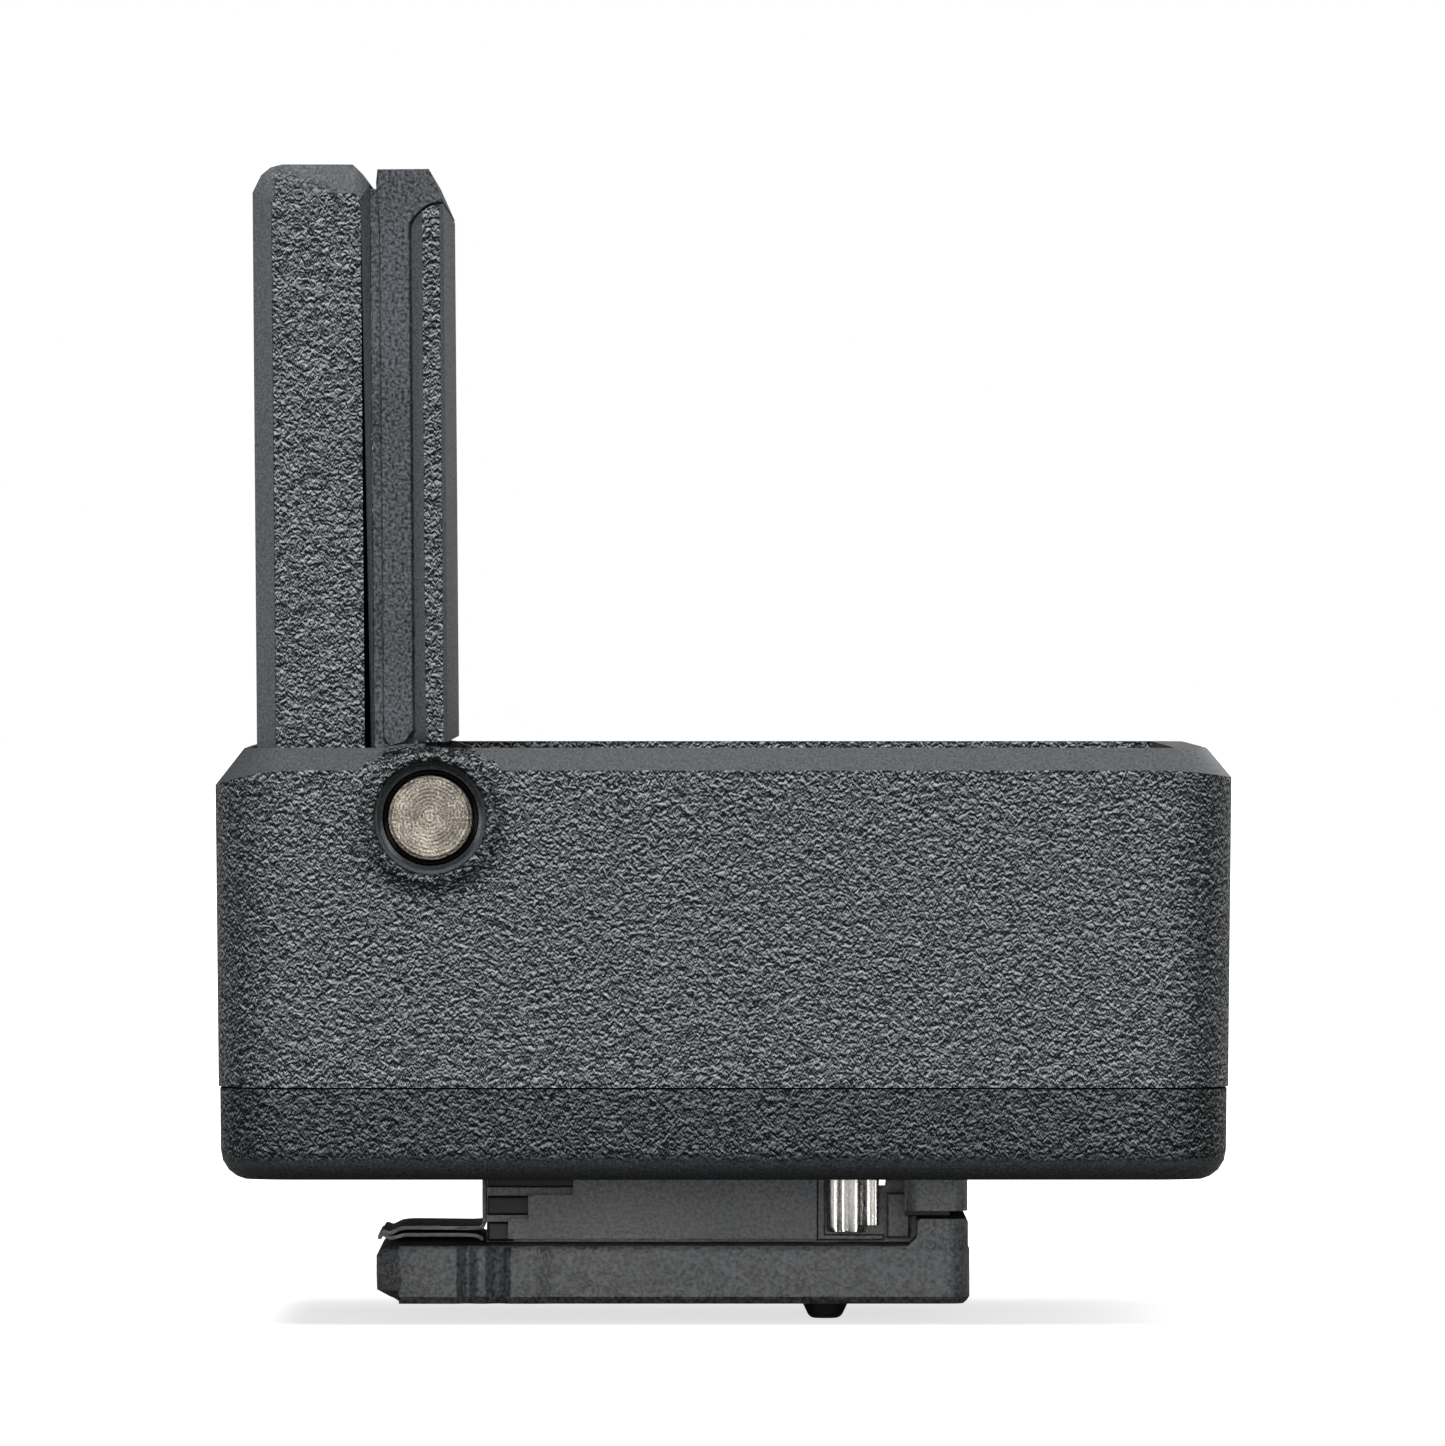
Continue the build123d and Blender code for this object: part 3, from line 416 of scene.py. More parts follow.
def grained(name, corners, shade_by=1.0):
    """Leather-grained plastic, with painted light on the grain's upward slopes and painted shade in its creases, on
    downward faces and on turned-away corners. Bevels stay smooth; corners says whether rounded upright corners are
    grained.
    """
    made = Surface(name)
    here = made.place.outputs["Object"]
    above = made.nodes.new("ShaderNodeVectorMath")
    above.operation = "ADD"
    made.links.new(here, above.inputs[0])
    above.inputs[1].default_value = (0, 0, PAINTED_LIGHT_STEP * MM)
    relief = leather_relief(made, here)
    # painted light: slopes of the grain that face up are painted paler than those that face down, as if lit from
    # above
    painted_top_light = made.math("SUBTRACT", relief, leather_relief(made, above.outputs[0]))
    normal = made.node("SeparateXYZ", Vector=made.place.outputs["Normal"])
    facing = made.math("MAXIMUM", *[made.math("ABSOLUTE", normal.outputs[k]) for k in ("X", "Y")])
    if corners:
        tilt = made.math("ABSOLUTE", normal.outputs["Z"])
        mask = made.span(tilt, 0.12, 0.4, 1.0, 0.0)
        # the raised ring round the hinge is grained too, outside its smooth inner slope
        where = made.node("SeparateXYZ", Vector=made.place.outputs["Object"])
        x = made.math("SUBTRACT", where.outputs["X"], HINGE_X * MM)
        z = made.math("SUBTRACT", where.outputs["Z"], HINGE_Z * MM)
        radius = made.math("SQRT", made.math("ADD", made.math("MULTIPLY", x, x), made.math("MULTIPLY", z, z)))
        ring = made.math(
            "MULTIPLY",
            made.span(radius, 1.86 * MM, 1.94 * MM, 0.0, 1.0),
            made.span(radius, 2.6 * MM, 2.8 * MM, 1.0, 0.0),
        )
        mask = made.math("MAXIMUM", mask, ring)
        mask = made.math("MULTIPLY", mask, made.span(radius, 1.86 * MM, 1.94 * MM, 0.0, 1.0))
    else:
        mask = made.span(facing, 0.9, 0.985, 0.0, 1.0)
    fine = made.noise(0.08, detail=3)
    height = made.math("ADD", made.math("MULTIPLY", relief, mask), made.math("MULTIPLY", fine, 0.1))
    made.link(made.bump(height, GRAIN_DEPTH), "Normal")
    # painted light and shade: the grain's upward slopes are painted paler and its creases darker
    painted_light_and_crease_shade = made.math("MULTIPLY_ADD", painted_top_light, PAINTED_LIGHT_CONTRAST, made.math("SUBTRACT", relief, GRAIN_LEVEL))
    rough_tone = made.math("MULTIPLY", painted_light_and_crease_shade, mask)
    sandy_tone = made.math("MULTIPLY_ADD", made.math("SUBTRACT", fine, 0.5), 0.4, BEVEL_TONE)
    smooth = made.math("MULTIPLY", sandy_tone, made.math("SUBTRACT", 1.0, mask))
    # painted shade: faces turned downwards, and rounded upright corners turned from the flat sides, are painted
    # darker
    painted_underside_shade = made.math("MULTIPLY", made.math("MINIMUM", normal.outputs["Z"], 0.0), 0.22)
    turned = made.math("MULTIPLY", made.math("MULTIPLY", made.math("SUBTRACT", facing, 1.0), 0.4), mask)
    macro = made.math("ADD", painted_underside_shade, made.math("ADD", turned, 0.5))
    tone = made.math("ADD", made.math("ADD", rough_tone, smooth), macro)
    stops = [(at, tuple(shade_by * level for level in colour)) for at, colour in GRAIN_COLOURS]
    made.link(made.colours(tone, stops), "Base Color")
    flat = made.span(made.math("ABSOLUTE", normal.outputs["Z"]), 0.8, 0.98, 0.0, 0.2)
    made.link(made.math("ADD", made.span(tone, 0.3, 0.7, 0.66, 0.56), flat), "Roughness")
    made.link(made.span(tone, 0.3, 0.75, 0.05 * shade_by, 0.45 * shade_by), "Specular IOR Level")
    return made.material


def turned_metal():
    """Turned end of the hinge pin: rings about the hinge axis, and a faint line across."""
    made = Surface("turned_nickel")
    where = made.node("SeparateXYZ", Vector=made.place.outputs["Object"])
    x = made.math("SUBTRACT", where.outputs["X"], HINGE_X * MM)
    z = made.math("SUBTRACT", where.outputs["Z"], HINGE_Z * MM)
    radius = made.math("SQRT", made.math("ADD", made.math("MULTIPLY", x, x), made.math("MULTIPLY", z, z)))
    wobble = made.math("MULTIPLY", made.noise(0.5, detail=3), 0.00012)
    rings = made.math("SINE", made.math("MULTIPLY", made.math("ADD", radius, wobble), 2 * pi / (0.13 * MM)))
    speckle = made.noise(0.07, detail=4)
    line = made.span(made.math("ABSOLUTE", made.math("SUBTRACT", z, 0.02 * MM)), 0.0, 0.05 * MM, 0.16, 0.0)
    line = made.math("MULTIPLY", line, made.span(made.math("ABSOLUTE", x), 0.5 * MM, 0.8 * MM, 0.1, 1.0))
    blotches = made.math("MULTIPLY_ADD", made.noise(0.55, detail=3), 0.7, -0.35)
    mottled = made.math("ADD", made.math("MULTIPLY_ADD", speckle, 1.7, -0.33), blotches)
    tone = made.math("ADD", made.math("MULTIPLY_ADD", rings, 0.045, mottled), line)
    stops = [(0.3, (0.02, 0.0165, 0.0125)), (0.55, (0.09, 0.077, 0.06)), (0.82, (0.25, 0.22, 0.18))]
    made.link(made.colours(tone, stops), "Base Color")
    made.link(made.span(speckle, 0.3, 0.7, 0.5, 0.65), "Roughness")
    height = made.math("MULTIPLY_ADD", rings, 0.3, speckle)
    made.link(made.bump(height, 0.02), "Normal")
    made.set(Metallic=0.35)
    return made.material


def board_material():
    """Green solder mask over copper tracks."""
    made = Surface("solder_mask")
    tracks = made.cells(2.1, feature="DISTANCE_TO_EDGE", jitter=0.8)
    line = made.span(tracks, 0.05, 0.09, 1.0, 0.0)
    made.link(made.colours(line, [(0.0, (0.01, 0.1, 0.045)), (1.0, (0.03, 0.2, 0.08))]), "Base Color")
    made.link(made.bump(line, 0.03), "Normal")
    made.set(Roughness=0.35)
    return made.material


def clear(name, colour, roughness, size, depth, transmission):
    """Clear or frosted plastic and glass, with a fine surface."""
    made = Surface(name)
    fine = made.noise(size, detail=2)
    made.link(made.colours(fine, [(0.3, tuple(c * 0.94 for c in colour)), (0.7, colour)]), "Base Color")
    made.link(made.span(fine, 0.3, 0.7, roughness * 0.8, roughness * 1.2), "Roughness")
    made.link(made.bump(fine, depth), "Normal")
    made.set(Transmission_Weight=transmission, IOR=1.49)
    return made.material


grain_body = grained("leather_grain_body", corners=True)
grain_cover = grained("leather_grain_cover", corners=True, shade_by=0.6)
grain_head = grained("leather_grain_head", corners=False)
satin = plastic(
    "satin_plastic", (0.03, 0.0328, 0.0358), roughness=0.74, size=0.11, depth=0.035, spread=0.8,
    Specular_IOR_Level=0.06,
)
sand = plastic(
    "sand_textured_plastic", (0.034, 0.0372, 0.0405), roughness=0.48, size=0.13, depth=0.04, spread=1.0,
    Specular_IOR_Level=0.6,
)
# painted light: a lighter, glossier copy of the foot plastic for the neck, which sits in the body's shade
neck_plastic_painted_light = plastic(
    "neck_plastic_painted_light", (0.038, 0.0415, 0.0455), roughness=0.44, size=0.12, depth=0.03, spread=0.9,
    Specular_IOR_Level=0.75,
)
# black plastic of the contact carrier, also used as painted shade on the neck's pad and ledges
black_plastic_and_painted_shade = plastic("black_plastic_and_painted_shade", (0.007, 0.0072, 0.0077), roughness=0.5, Specular_IOR_Level=0.3)
black_steel = metal("black_steel", (0.09, 0.085, 0.08), roughness=0.35, spread=0.3)
sheet_steel = metal("dark_sheet_steel", (0.05, 0.049, 0.046), roughness=0.36, stretch=(0.2, 1, 1), spread=0.35)
chrome = metal("bright_chrome", (0.86, 0.84, 0.8), roughness=0.27, depth=0.003, stretch=(1, 1, 0.3))
steel = metal("spring_steel", (0.5, 0.5, 0.5), roughness=0.28)
dark_nickel = metal("dark_nickel", (0.16, 0.16, 0.165), roughness=0.42, depth=0.006, spread=0.3)
aluminium = metal("polished_aluminium", (0.92, 0.92, 0.92), roughness=0.1)
nickel = turned_metal()
finishes = {
    "textured_plastic": grain_body,
    "satin_plastic": satin,
    "foot_plastic": sand,
    "black_steel": black_steel,
    "spring_chrome": chrome,
    "spring_steel": steel,
    "carrier_plastic": black_plastic_and_painted_shade,
    "gold_contact": metal("gold_plate", (0.83, 0.62, 0.3), roughness=0.25),
    "dark_contact": dark_nickel,
    "circuit_board": board_material(),
    "capacitor_can": plastic("capacitor_sleeve", (0.02, 0.022, 0.04), roughness=0.25),
    "ferrite": plastic("ferrite", (0.05, 0.045, 0.045), roughness=0.6, depth=0.02, spread=0.4),
    "chip_plastic": plastic("chip_plastic", (0.015, 0.015, 0.016), roughness=0.55),
    # painted shade: the bushes are made near black, darker than black plastic, as shade in the holes round the pins
    "bush_plastic": plastic("bush_plastic", (0.003, 0.003, 0.003), roughness=0.7, Specular_IOR_Level=0.1),
    "pin_nickel": nickel,
    "window_plastic": clear("window_plastic", (0.93, 0.95, 0.96), 0.28, 0.12, 0.01, 0.9),
    "polished_aluminium": aluminium,
    "tube_glass": clear("tube_glass", (0.97, 0.98, 0.99), 0.04, 0.5, 0.002, 0.97),
    "silicone": plastic("silicone", (0.6, 0.6, 0.57), roughness=0.55, Subsurface_Weight=0.1),
    "bobbin_plastic": metal("enamelled_wire", (0.45, 0.2, 0.07), roughness=0.35, stretch=(1, 8, 1)),
    "wire_jacket": plastic("wire_jacket", (0.35, 0.02, 0.018), roughness=0.35),
}


def paint(piece, material):
    piece.data.materials.clear()
    piece.data.materials.append(material)
    return piece


slot_of = {part["node"]: part["material_slot"] for part in frame["record"]["subparts"]}
for node, piece in frame["nodes"].items():
    paint(piece, finishes[slot_of[node]])
    shade_only = piece.modifiers.new("edges", "BEVEL")
    shade_only.width = 0.05 * MM
    shade_only.segments = 2
    shade_only.limit_method = "ANGLE"
    shade_only.angle_limit = radians(30)
    shade_only.harden_normals = True

# ---------------------------------------------------------------- body


def facing_blend(nx, ny, front, rear, side):
    """A value for an outward direction, from those of the front, the rear and the sides."""
    return nx * nx * (front if nx < 0 else rear) + ny * ny * side


def wall_ring(depth, front=0.0, rear=0.0, side=0.0, drop=(0.0, 0.0, 0.0)):
    """The body's outline at this depth below its top, moved in by each side's inset and down by its drop."""
    ring = []
    for x, y, _, nx, ny in corner_ring(BODY_FRONT, BODY_REAR, -BODY_HALF, BODY_HALF, BODY_CORNER, 0):
        down = depth + facing_blend(nx, ny, *drop)
        inset = down * DRAFT + facing_blend(nx, ny, front, rear, side)
        ring.append((x - nx * inset, y - ny * inset, BODY_TOP - down))
    return ring


def plain_ring(x0, x1, y0, y1, radius, z):
    return [point[:3] for point in corner_ring(x0, x1, y0, y1, radius, z)]


def boss_profile():
    """Raised ring round the hinge: a rounded crest, a smooth inner slope, and a soft flare outside."""
    crest = 2.08
    inner = [(BOSS_HOLE_R, -BOSS_DEEP), (BOSS_HOLE_R, 0.0), (1.83, 0.1), (1.94, 0.25)]
    top = [(crest - 0.09, BOSS_PROUD - 0.04), (crest, BOSS_PROUD), (crest + 0.1, BOSS_PROUD - 0.03)]
    flare = [(2.27, 0.24), (2.4, 0.14), (2.54, 0.065), (2.72, 0.018), (2.9, -0.005), (2.9, -0.4), (2.2, -BOSS_DEEP)]
    return inner + top + flare


def make_housing():
    bevel_in = dict(front=1.0, rear=0.85, side=0.8)
    drops = (1.26, 1.0, 0.75)
    tray_front = HINGE_X - WELL_R
    tray = dict(x0=tray_front, x1=TRAY_REAR, y0=-TRAY_HALF, y1=TRAY_HALF, radius=0.5)
    rings = [
        wall_ring(BODY_TOP - SEAM),
        wall_ring(0, drop=drops),
        wall_ring(0, **bevel_in),
        plain_ring(**tray, z=BODY_TOP),
        plain_ring(**tray, z=TRAY_FLOOR),
    ]
    shell = loft("body_housing", rings)
    for side in (-1, 1):
        profile = [(radius, side * along) for radius, along in boss_profile()]
        boss = revolve("hinge_boss", profile, (HINGE_X, side * BODY_HALF, HINGE_Z))
        cut(boss, box_piece("trim", (-20, -30, BODY_TOP + 0.17), (0, 30, BODY_TOP + 5)))
        above = box_piece("flare", (-20, -30, BODY_TOP - 0.4), (0, 30, BODY_TOP + 5))
        cut(above, rod("crest", (HINGE_X, -31, HINGE_Z), 2.4, 62, "Y"))
        cut(boss, above)
        paint(boss, grain_body)
        soften(boss, 0.05, segments=2, angle=35)
        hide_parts("base_housing")
        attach(boss, "base")
    ceiling = TRAY_FLOOR - 1.2
    room = loft(
        "room",
        [plain_ring(BODY_FRONT + 1.6, BODY_REAR - 1.6, -18.4, 18.4, 1.3, z) for z in (SEAM - 1, ceiling)],
    )
    cut(room, rod("well_wall", (HINGE_X, -19, HINGE_Z), WELL_R + 1.15, 38, "Y"))
    cut(shell, room)
    cut(shell, rod("well", (HINGE_X, -TRAY_HALF, HINGE_Z), WELL_R, 2 * TRAY_HALF, "Y", steps=128))
    cut(shell, rod("pin_hole", (HINGE_X, -30, HINGE_Z), PIN_HOLE_R, 60, "Y", steps=96))
    mouth = 1.0
    for start in (-30, BODY_HALF - mouth):
        cut(shell, rod("hole_mouth", (HINGE_X, start, HINGE_Z), 1.9, 30 - BODY_HALF + mouth, "Y", steps=90))
    cut(shell, box_piece("leaf_slot", (HINGE_X + 4.5, -3.3, ceiling - 2.7), (HINGE_X + 8.1, 3.3, ceiling)))
    paint(shell, grain_body)
    soften(shell, 0.09, segments=3)
    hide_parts("base_housing")
    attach(shell, "base")
    return shell


def screw_spots():
    """Centres of the cover's four corner screws, from their own box."""
    low, high = span("bottom_cover_screws")
    return [(x, y) for x in (low.x + 1.3, high.x - 1.3) for y in (low.y + 1.3, high.y - 1.3)]


def make_bottom_cover():
    depth = BODY_TOP - cover_high.z
    bottom = BODY_TOP - cover_low.z
    lip = 0.05
    # height above the bottom, and how far in the rounded lower edge is there
    edge = [(1.0, lip), (0.62, 0.12), (0.3, 0.32), (0.1, 0.58), (0.0, 0.85)]
    rings = [wall_ring(depth, front=lip, rear=lip, side=lip)]
    rings += [wall_ring(bottom - up, front=inset, rear=inset, side=inset) for up, inset in edge]
    cover = loft("lower_cover", rings)
    inner = plain_ring(BODY_FRONT + 1.7, BODY_REAR - 1.7, -18.3, 18.3, 1.3, cover_high.z + 1)
    floor = plain_ring(BODY_FRONT + 1.7, BODY_REAR - 1.7, -18.3, 18.3, 1.3, cover_low.z + 1.2)
    cut(cover, loft("inside", [inner, floor]))
    for x, y in screw_spots():
        weld(cover, rod("pillar", (x, y, cover_low.z + 0.5), 1.7, cover_high.z - cover_low.z - 0.5, "Z"))
    for x, y in screw_spots():
        cut(cover, rod("counterbore", (x, y, cover_low.z - 1), 1.4, 2.1, "Z"))
        cut(cover, rod("bore", (x, y, cover_low.z - 1), 0.85, 9, "Z"))
    carrier_low, carrier_high = span("contact_carrier")
    low = (carrier_low.x - 0.05, carrier_low.y - 0.05, 3)
    high = (carrier_high.x + 0.05, carrier_high.y + 0.05, 7)
    cut(cover, box_piece("window", low, high))
    screws_low, screws_high = span("foot_screws")
    for x in (screws_low.x + 1.42, screws_high.x - 1.42):
        for y in (screws_low.y + 1.42, screws_high.y - 1.42):
            cut(cover, rod("bore", (x, y, 3), 0.6, 4, "Z", steps=32))
    paint(cover, grain_cover)
    soften(cover, 0.09, segments=3)
    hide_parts("bottom_cover")
    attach(cover, "base")
    return cover


make_housing()
make_bottom_cover()

# ---------------------------------------------------------------- head

SHELL_REAR = -1.93
SHELL_TOP = 22.26
FRAME_TOP = 22.06
HEAD_REAR = 0.58
CAVITY_LOW = 2.5
WINDOW_LOW, WINDOW_HIGH, WINDOW_HALF = 8.0, 20.5, 14.4


def head_panel(name, u0, u1, half, w0, w1, radius):
    """A block with rounded corners as seen from the front of the head."""
    rings = []
    for u in (u0, u1):
        ring = corner_ring(-half, half, w0, w1, radius, 0, steps=6)
        rings.append([head_point(u, y, w) for y, w, *_ in ring])
    return loft(name, rings)


def head_rod(name, u, w, radius, y0, y1, steps=64):
    turns = [2 * pi * i / steps for i in range(steps)]
    return loft(name, [[head_point(u + radius * cos(t), y, w + radius * sin(t)) for t in turns] for y in (y0, y1)])


def shell_inset(nu, nw):
    """Width of the smooth bevel on the front shell's sides, by the way each edge faces."""
    return nu * nu * (0.66 if nu < 0 else 0.34) + nw * nw * (1.0 if nw > 0 else 0.3)


def make_front_shell():
    low = -sqrt(BARREL_R**2 - SHELL_REAR**2)
    stop = 180 + 90 - degrees_of(SHELL_REAR, low)
    outline = [(SHELL_REAR, low), (SHELL_REAR, FRAME_TOP - 0.5), (-2.15, FRAME_TOP - 0.16), (-2.5, SHELL_TOP - 0.02)]
    outline += [(-4.9, SHELL_TOP), (-5.3, SHELL_TOP - 0.1), (-5.62, SHELL_TOP - 0.36), (-BARREL_R, SHELL_TOP - 0.95)]
    outline += arc(BARREL_R, 180, stop, 18)[:-1]
    layers = [
        (-HEAD_HALF, shell_inset),
        (-HEAD_HALF + 0.45, None),
        (HEAD_HALF - 0.45, None),
        (HEAD_HALF, shell_inset),
    ]
    shell = across_head("head_front", outline, layers)
    cut(shell, head_panel("cavity", SHELL_REAR + 1, -BARREL_R + 1.02, 16.1, CAVITY_LOW, 21.2, 0.4))
    cut(shell, head_panel("window_opening", -BARREL_R - 1, -BARREL_R + 2, WINDOW_HALF, WINDOW_LOW, WINDOW_HIGH, 0.6))
    paint(shell, grain_head)
    soften(shell, 0.09, segments=3)
    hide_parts("head_front_shell")
    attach(shell, "head")
    return shell


def degrees_of(u, w):
    """How far a point is round from straight down, in degrees."""
    return -atan2(u, -w) * 180 / pi


def even_inset(width):
    """A bevel of the same width on every edge."""

    def distance_of(_nu, _nw):
        return width

    return distance_of


def band_inset(nu, nw):
    """Width of the bevel on the head's middle band: wider on its upper rear slope."""
    return 0.14 if nu > 0.5 and nw > 0.3 else 0.05


def make_inner_frame():
    joint = SHELL_REAR + 0.02
    flat = -0.9
    start = 270 - degrees_of(joint, -sqrt(BARREL_R**2 - joint**2))
    stop = 360 + atan2(flat, sqrt(BARREL_R**2 - flat**2)) * 180 / pi
    barrel = arc(BARREL_R, start, stop, 24) + [(-0.18, flat), (-0.18, CAVITY_LOW), (joint, CAVITY_LOW)]
    half = HEAD_HALF - 0.02
    edge = 0.12
    layers = [(-half, even_inset(edge)), (-half + edge, None), (half - edge, None), (half, even_inset(edge))]
    frame_piece = across_head("head_frame", barrel, layers)
    for y0, y1 in ((-half, -15.9), (15.9, half)):
        eye = head_rod("eye", 0, 0, 2.4, y0, y1)
        cut(eye, head_panel("shell_room", joint - 5, joint, 30, -9, 9, 0.1))
        weld(frame_piece, eye)
    core = across_head(
        "core",
        [(-0.18, CAVITY_LOW - 0.5), (-0.18, 21.4), (joint, 21.4), (joint, CAVITY_LOW - 0.5)],
        [(-16.85, None), (16.85, None)],
    )
    weld(frame_piece, core)
    band = [(-1.4, 2.4), (-0.85, 2.55), (-0.57, 2.95), (-0.57, 20.2)]
    band += [(-0.4, 20.45), (-0.05, 20.75), (0.2, 20.88), (HEAD_REAR, 20.93), (0.09, FRAME_TOP)]
    band += [(-1.66, FRAME_TOP), (-1.71, 21.6), (-1.62, 20.0), (-1.62, 2.75)]
    layers = [(-half, band_inset), (-half + 0.1, None), (half - 0.1, None), (half, band_inset)]
    weld(frame_piece, across_head("band", band, layers))
    cut(frame_piece, head_panel("reflector_room", -4, 3, 14.0, WINDOW_LOW + 0.15, WINDOW_HIGH - 0.15, 0.3))
    cut(frame_piece, head_panel("boot_room", -4, 3, 15.6, 12.75, 15.75, 0.3))
    cut(frame_piece, head_panel("board_room", -4, 3, 14.0, 2.8, 7.6, 0.3))
    cut(frame_piece, head_rod("pin_hole", 0, 0, 1.44, -20, 20))
    cut(frame_piece, head_rod("clip_room", 0, 0, 1.9, -15.9, 15.9))
    hollow = [(-1.35, -4.3), (2.6, -4.3), (3.9, -2.2), (0, -1.5), (-1.35, -1.5)]
    cut(frame_piece, across_head("barrel_room", hollow, [(-15.9, None), (15.9, None)]))
    low, high = (HINGE_X - 1.8, -13.4, HINGE_Z - 3.8), (HINGE_X - 0.6, -9.4, HINGE_Z + 3)
    cut(frame_piece, box_piece("wire_room", low, high))
    paint(frame_piece, satin)
    soften(frame_piece, 0.07, segments=3)
    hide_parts("head_inner_frame")
    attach(frame_piece, "head")
    return frame_piece


def make_rear_cover():
    """Thin rear cover, whose sides hook forward over the frame with a dark bevel."""
    back = HEAD_REAR - 0.13
    front = -0.16
    lip = -0.52
    bevel = 0.32
    side = [(front, 16.85), (lip, 16.85), (lip, HEAD_HALF - bevel), (front, HEAD_HALF - 0.01)]
    side += [(back, HEAD_HALF), (HEAD_REAR, HEAD_HALF - 0.13)]
    section = [(u, -y) for u, y in side] + [(u, y) for u, y in reversed(side)]
    # height up the head, and how far forward the cover reaches there
    levels = [(CAVITY_LOW + 0.05, -0.35), (CAVITY_LOW + 0.15, -0.45), (CAVITY_LOW + 0.5, lip), (20.1, lip)]
    levels += [(20.35, -0.44), (20.6, -0.2), (20.75, 0.05), (20.86, 0.3)]
    rings = [[head_point(max(u, reach), y, w) for u, y in section] for w, reach in levels]
    cover = loft("head_back", rings)
    paint(cover, grain_head)
    soften(cover, 0.07, segments=3)
    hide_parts("head_rear_cover")
    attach(cover, "head")
    return cover


make_front_shell()
make_inner_frame()
make_rear_cover()

# ---------------------------------------------------------------- shoe foot

FOOT_HALF = plate_high.x
RAIL_HALF = 9.3
TONGUE_HALF = RAIL_HALF + 0.15
FOOT_TOP = 2.0
STOP_FRONT = 8.43
STOP_TOP = 2.96
NECK_FRONT = neck_low.x
CORE_HALF = 5.5
PIN_X = (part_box("contact_pin_1")[0].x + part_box("contact_pin_1")[1].x) / 2 / MM
PIN_ROWS = [sum(corner.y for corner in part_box(f"contact_pin_{i}")) / 2 / MM for i in range(1, 6)]
FOOT_SCREWS = [(x, y) for x in (-3.4, 1.6) for y in (-3.4, 3.4)]


def side_block(name, outline, half, chamfer=0.0):
    """A side outline (x, z), anticlockwise, taken across the foot to +half and -half."""
    layers = [(-half, None), (half, None)]
    if chamfer:
        edge = even_inset(chamfer)
        layers = [(-half, edge), (-half + chamfer, None), (half - chamfer, None), (half, edge)]
    rings = []
    for y, distance_of in layers:
        ring = inset_outline(outline, distance_of) if distance_of else outline
        rings.append([(x, y, z) for x, z in ring])
    return loft(name, rings)


def tongue_wave(x):
    """How far the tongue's side stands out at x: two shallow grooves, then a slope back to the rail."""
    out = TONGUE_HALF
    for middle, width, depth in ((-7.09, 0.4, 0.27), (-6.02, 0.5, 0.34)):
        t = abs(x - middle) / width
        if t < 1:
            out -= depth * (0.5 + 0.5 * cos(pi * t))
    slope = min(max((x + 4.85) / 0.85, 0), 1)
    return out - (TONGUE_HALF - RAIL_HALF) * slope * slope * (3 - 2 * slope)


def plate_ring(z, inset, tip=0.0):
    """The foot's outline from above at height z, with the tip moved back."""
    front = -FOOT_HALF + tip
    side = [(front, TONGUE_HALF - 0.8 - inset), (front + 0.06, TONGUE_HALF - 0.72 - inset)]
    side += [(-FOOT_HALF + 0.78, TONGUE_HALF - 0.05 - inset), (-FOOT_HALF + 0.9, TONGUE_HALF - inset)]
    side += [(-8 + 0.11 * i, tongue_wave(-8 + 0.11 * i) - inset) for i in range(42)]
    radius = 0.86
    side.append((FOOT_HALF - radius - 0.3, RAIL_HALF - inset))
    turns = [radians(90 - 90 * i / 8) for i in range(9)]
    cx, cy = FOOT_HALF - radius, RAIL_HALF - radius
    side += [(cx + (radius - inset) * cos(t), cy + (radius - inset) * sin(t)) for t in turns]
    return [(x, y, z) for x, y in reversed(side)] + [(x, -y, z) for x, y in side]


def plate_inset(z):
    """How far the plate's rounded lower and upper edges are moved in at height z."""
    if z < 0.05:
        return 0.22
    if z < 0.12:
        return 0.1
    return 0.06 if z > FOOT_TOP - 0.05 else 0.0


def make_foot_plate():
    tips = [(0.0, 1.0), (0.1, 0.8), (0.25, 0.45), (0.48, 0.02), (1.0, 0.0), (FOOT_TOP - 0.35, 0.0)]
    tips += [(FOOT_TOP - 0.12, 0.18), (FOOT_TOP, 0.45)]
    plate = loft("shoe_plate", [plate_ring(z, plate_inset(z), tip) for z, tip in tips])
    slope = [(STOP_FRONT - 0.55, 1.7), (FOOT_HALF - 0.05, 1.7), (FOOT_HALF - 0.05, STOP_TOP - 0.15)]
    slope += [(FOOT_HALF - 0.13, STOP_TOP - 0.04), (STOP_FRONT + 0.1, STOP_TOP - 0.04), (STOP_FRONT, STOP_TOP - 0.12)]
    slope += [(STOP_FRONT, 2.42), (STOP_FRONT - 0.06, 2.25), (STOP_FRONT - 0.3, 2.02)]
    stop = side_block("stop", slope, RAIL_HALF - 0.02)
    rounder = loft("rounder", [plate_ring(z, 0.03) for z in (1, 4)])
    boolean(stop, rounder, "INTERSECT")
    room = CORE_HALF + 0.9
    cut(stop, box_piece("neck_room", (STOP_FRONT - 1, -room, FOOT_TOP), (STOP_FRONT + 0.001, room, 4)))
    weld(plate, stop)
    for y in PIN_ROWS:
        cut(plate, rod("pin_bore", (PIN_X, y, -1), 0.86, 4, "Z"))
    for x, y in FOOT_SCREWS:
        cut(plate, rod("screw_bore", (x, y, -1), 0.85, 4, "Z"))
        turns = [2 * pi * i / 48 for i in range(48)]
        cone = [[(x + r * cos(t), y + r * sin(t), z) for t in turns] for z, r in ((-0.2, 1.8), (0.9, 0.7))]
        cut(plate, loft("countersink", cone))
    paint(plate, sand)
    soften(plate, 0.06, segments=3)
    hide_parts("foot_plate")
    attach(plate, "base")


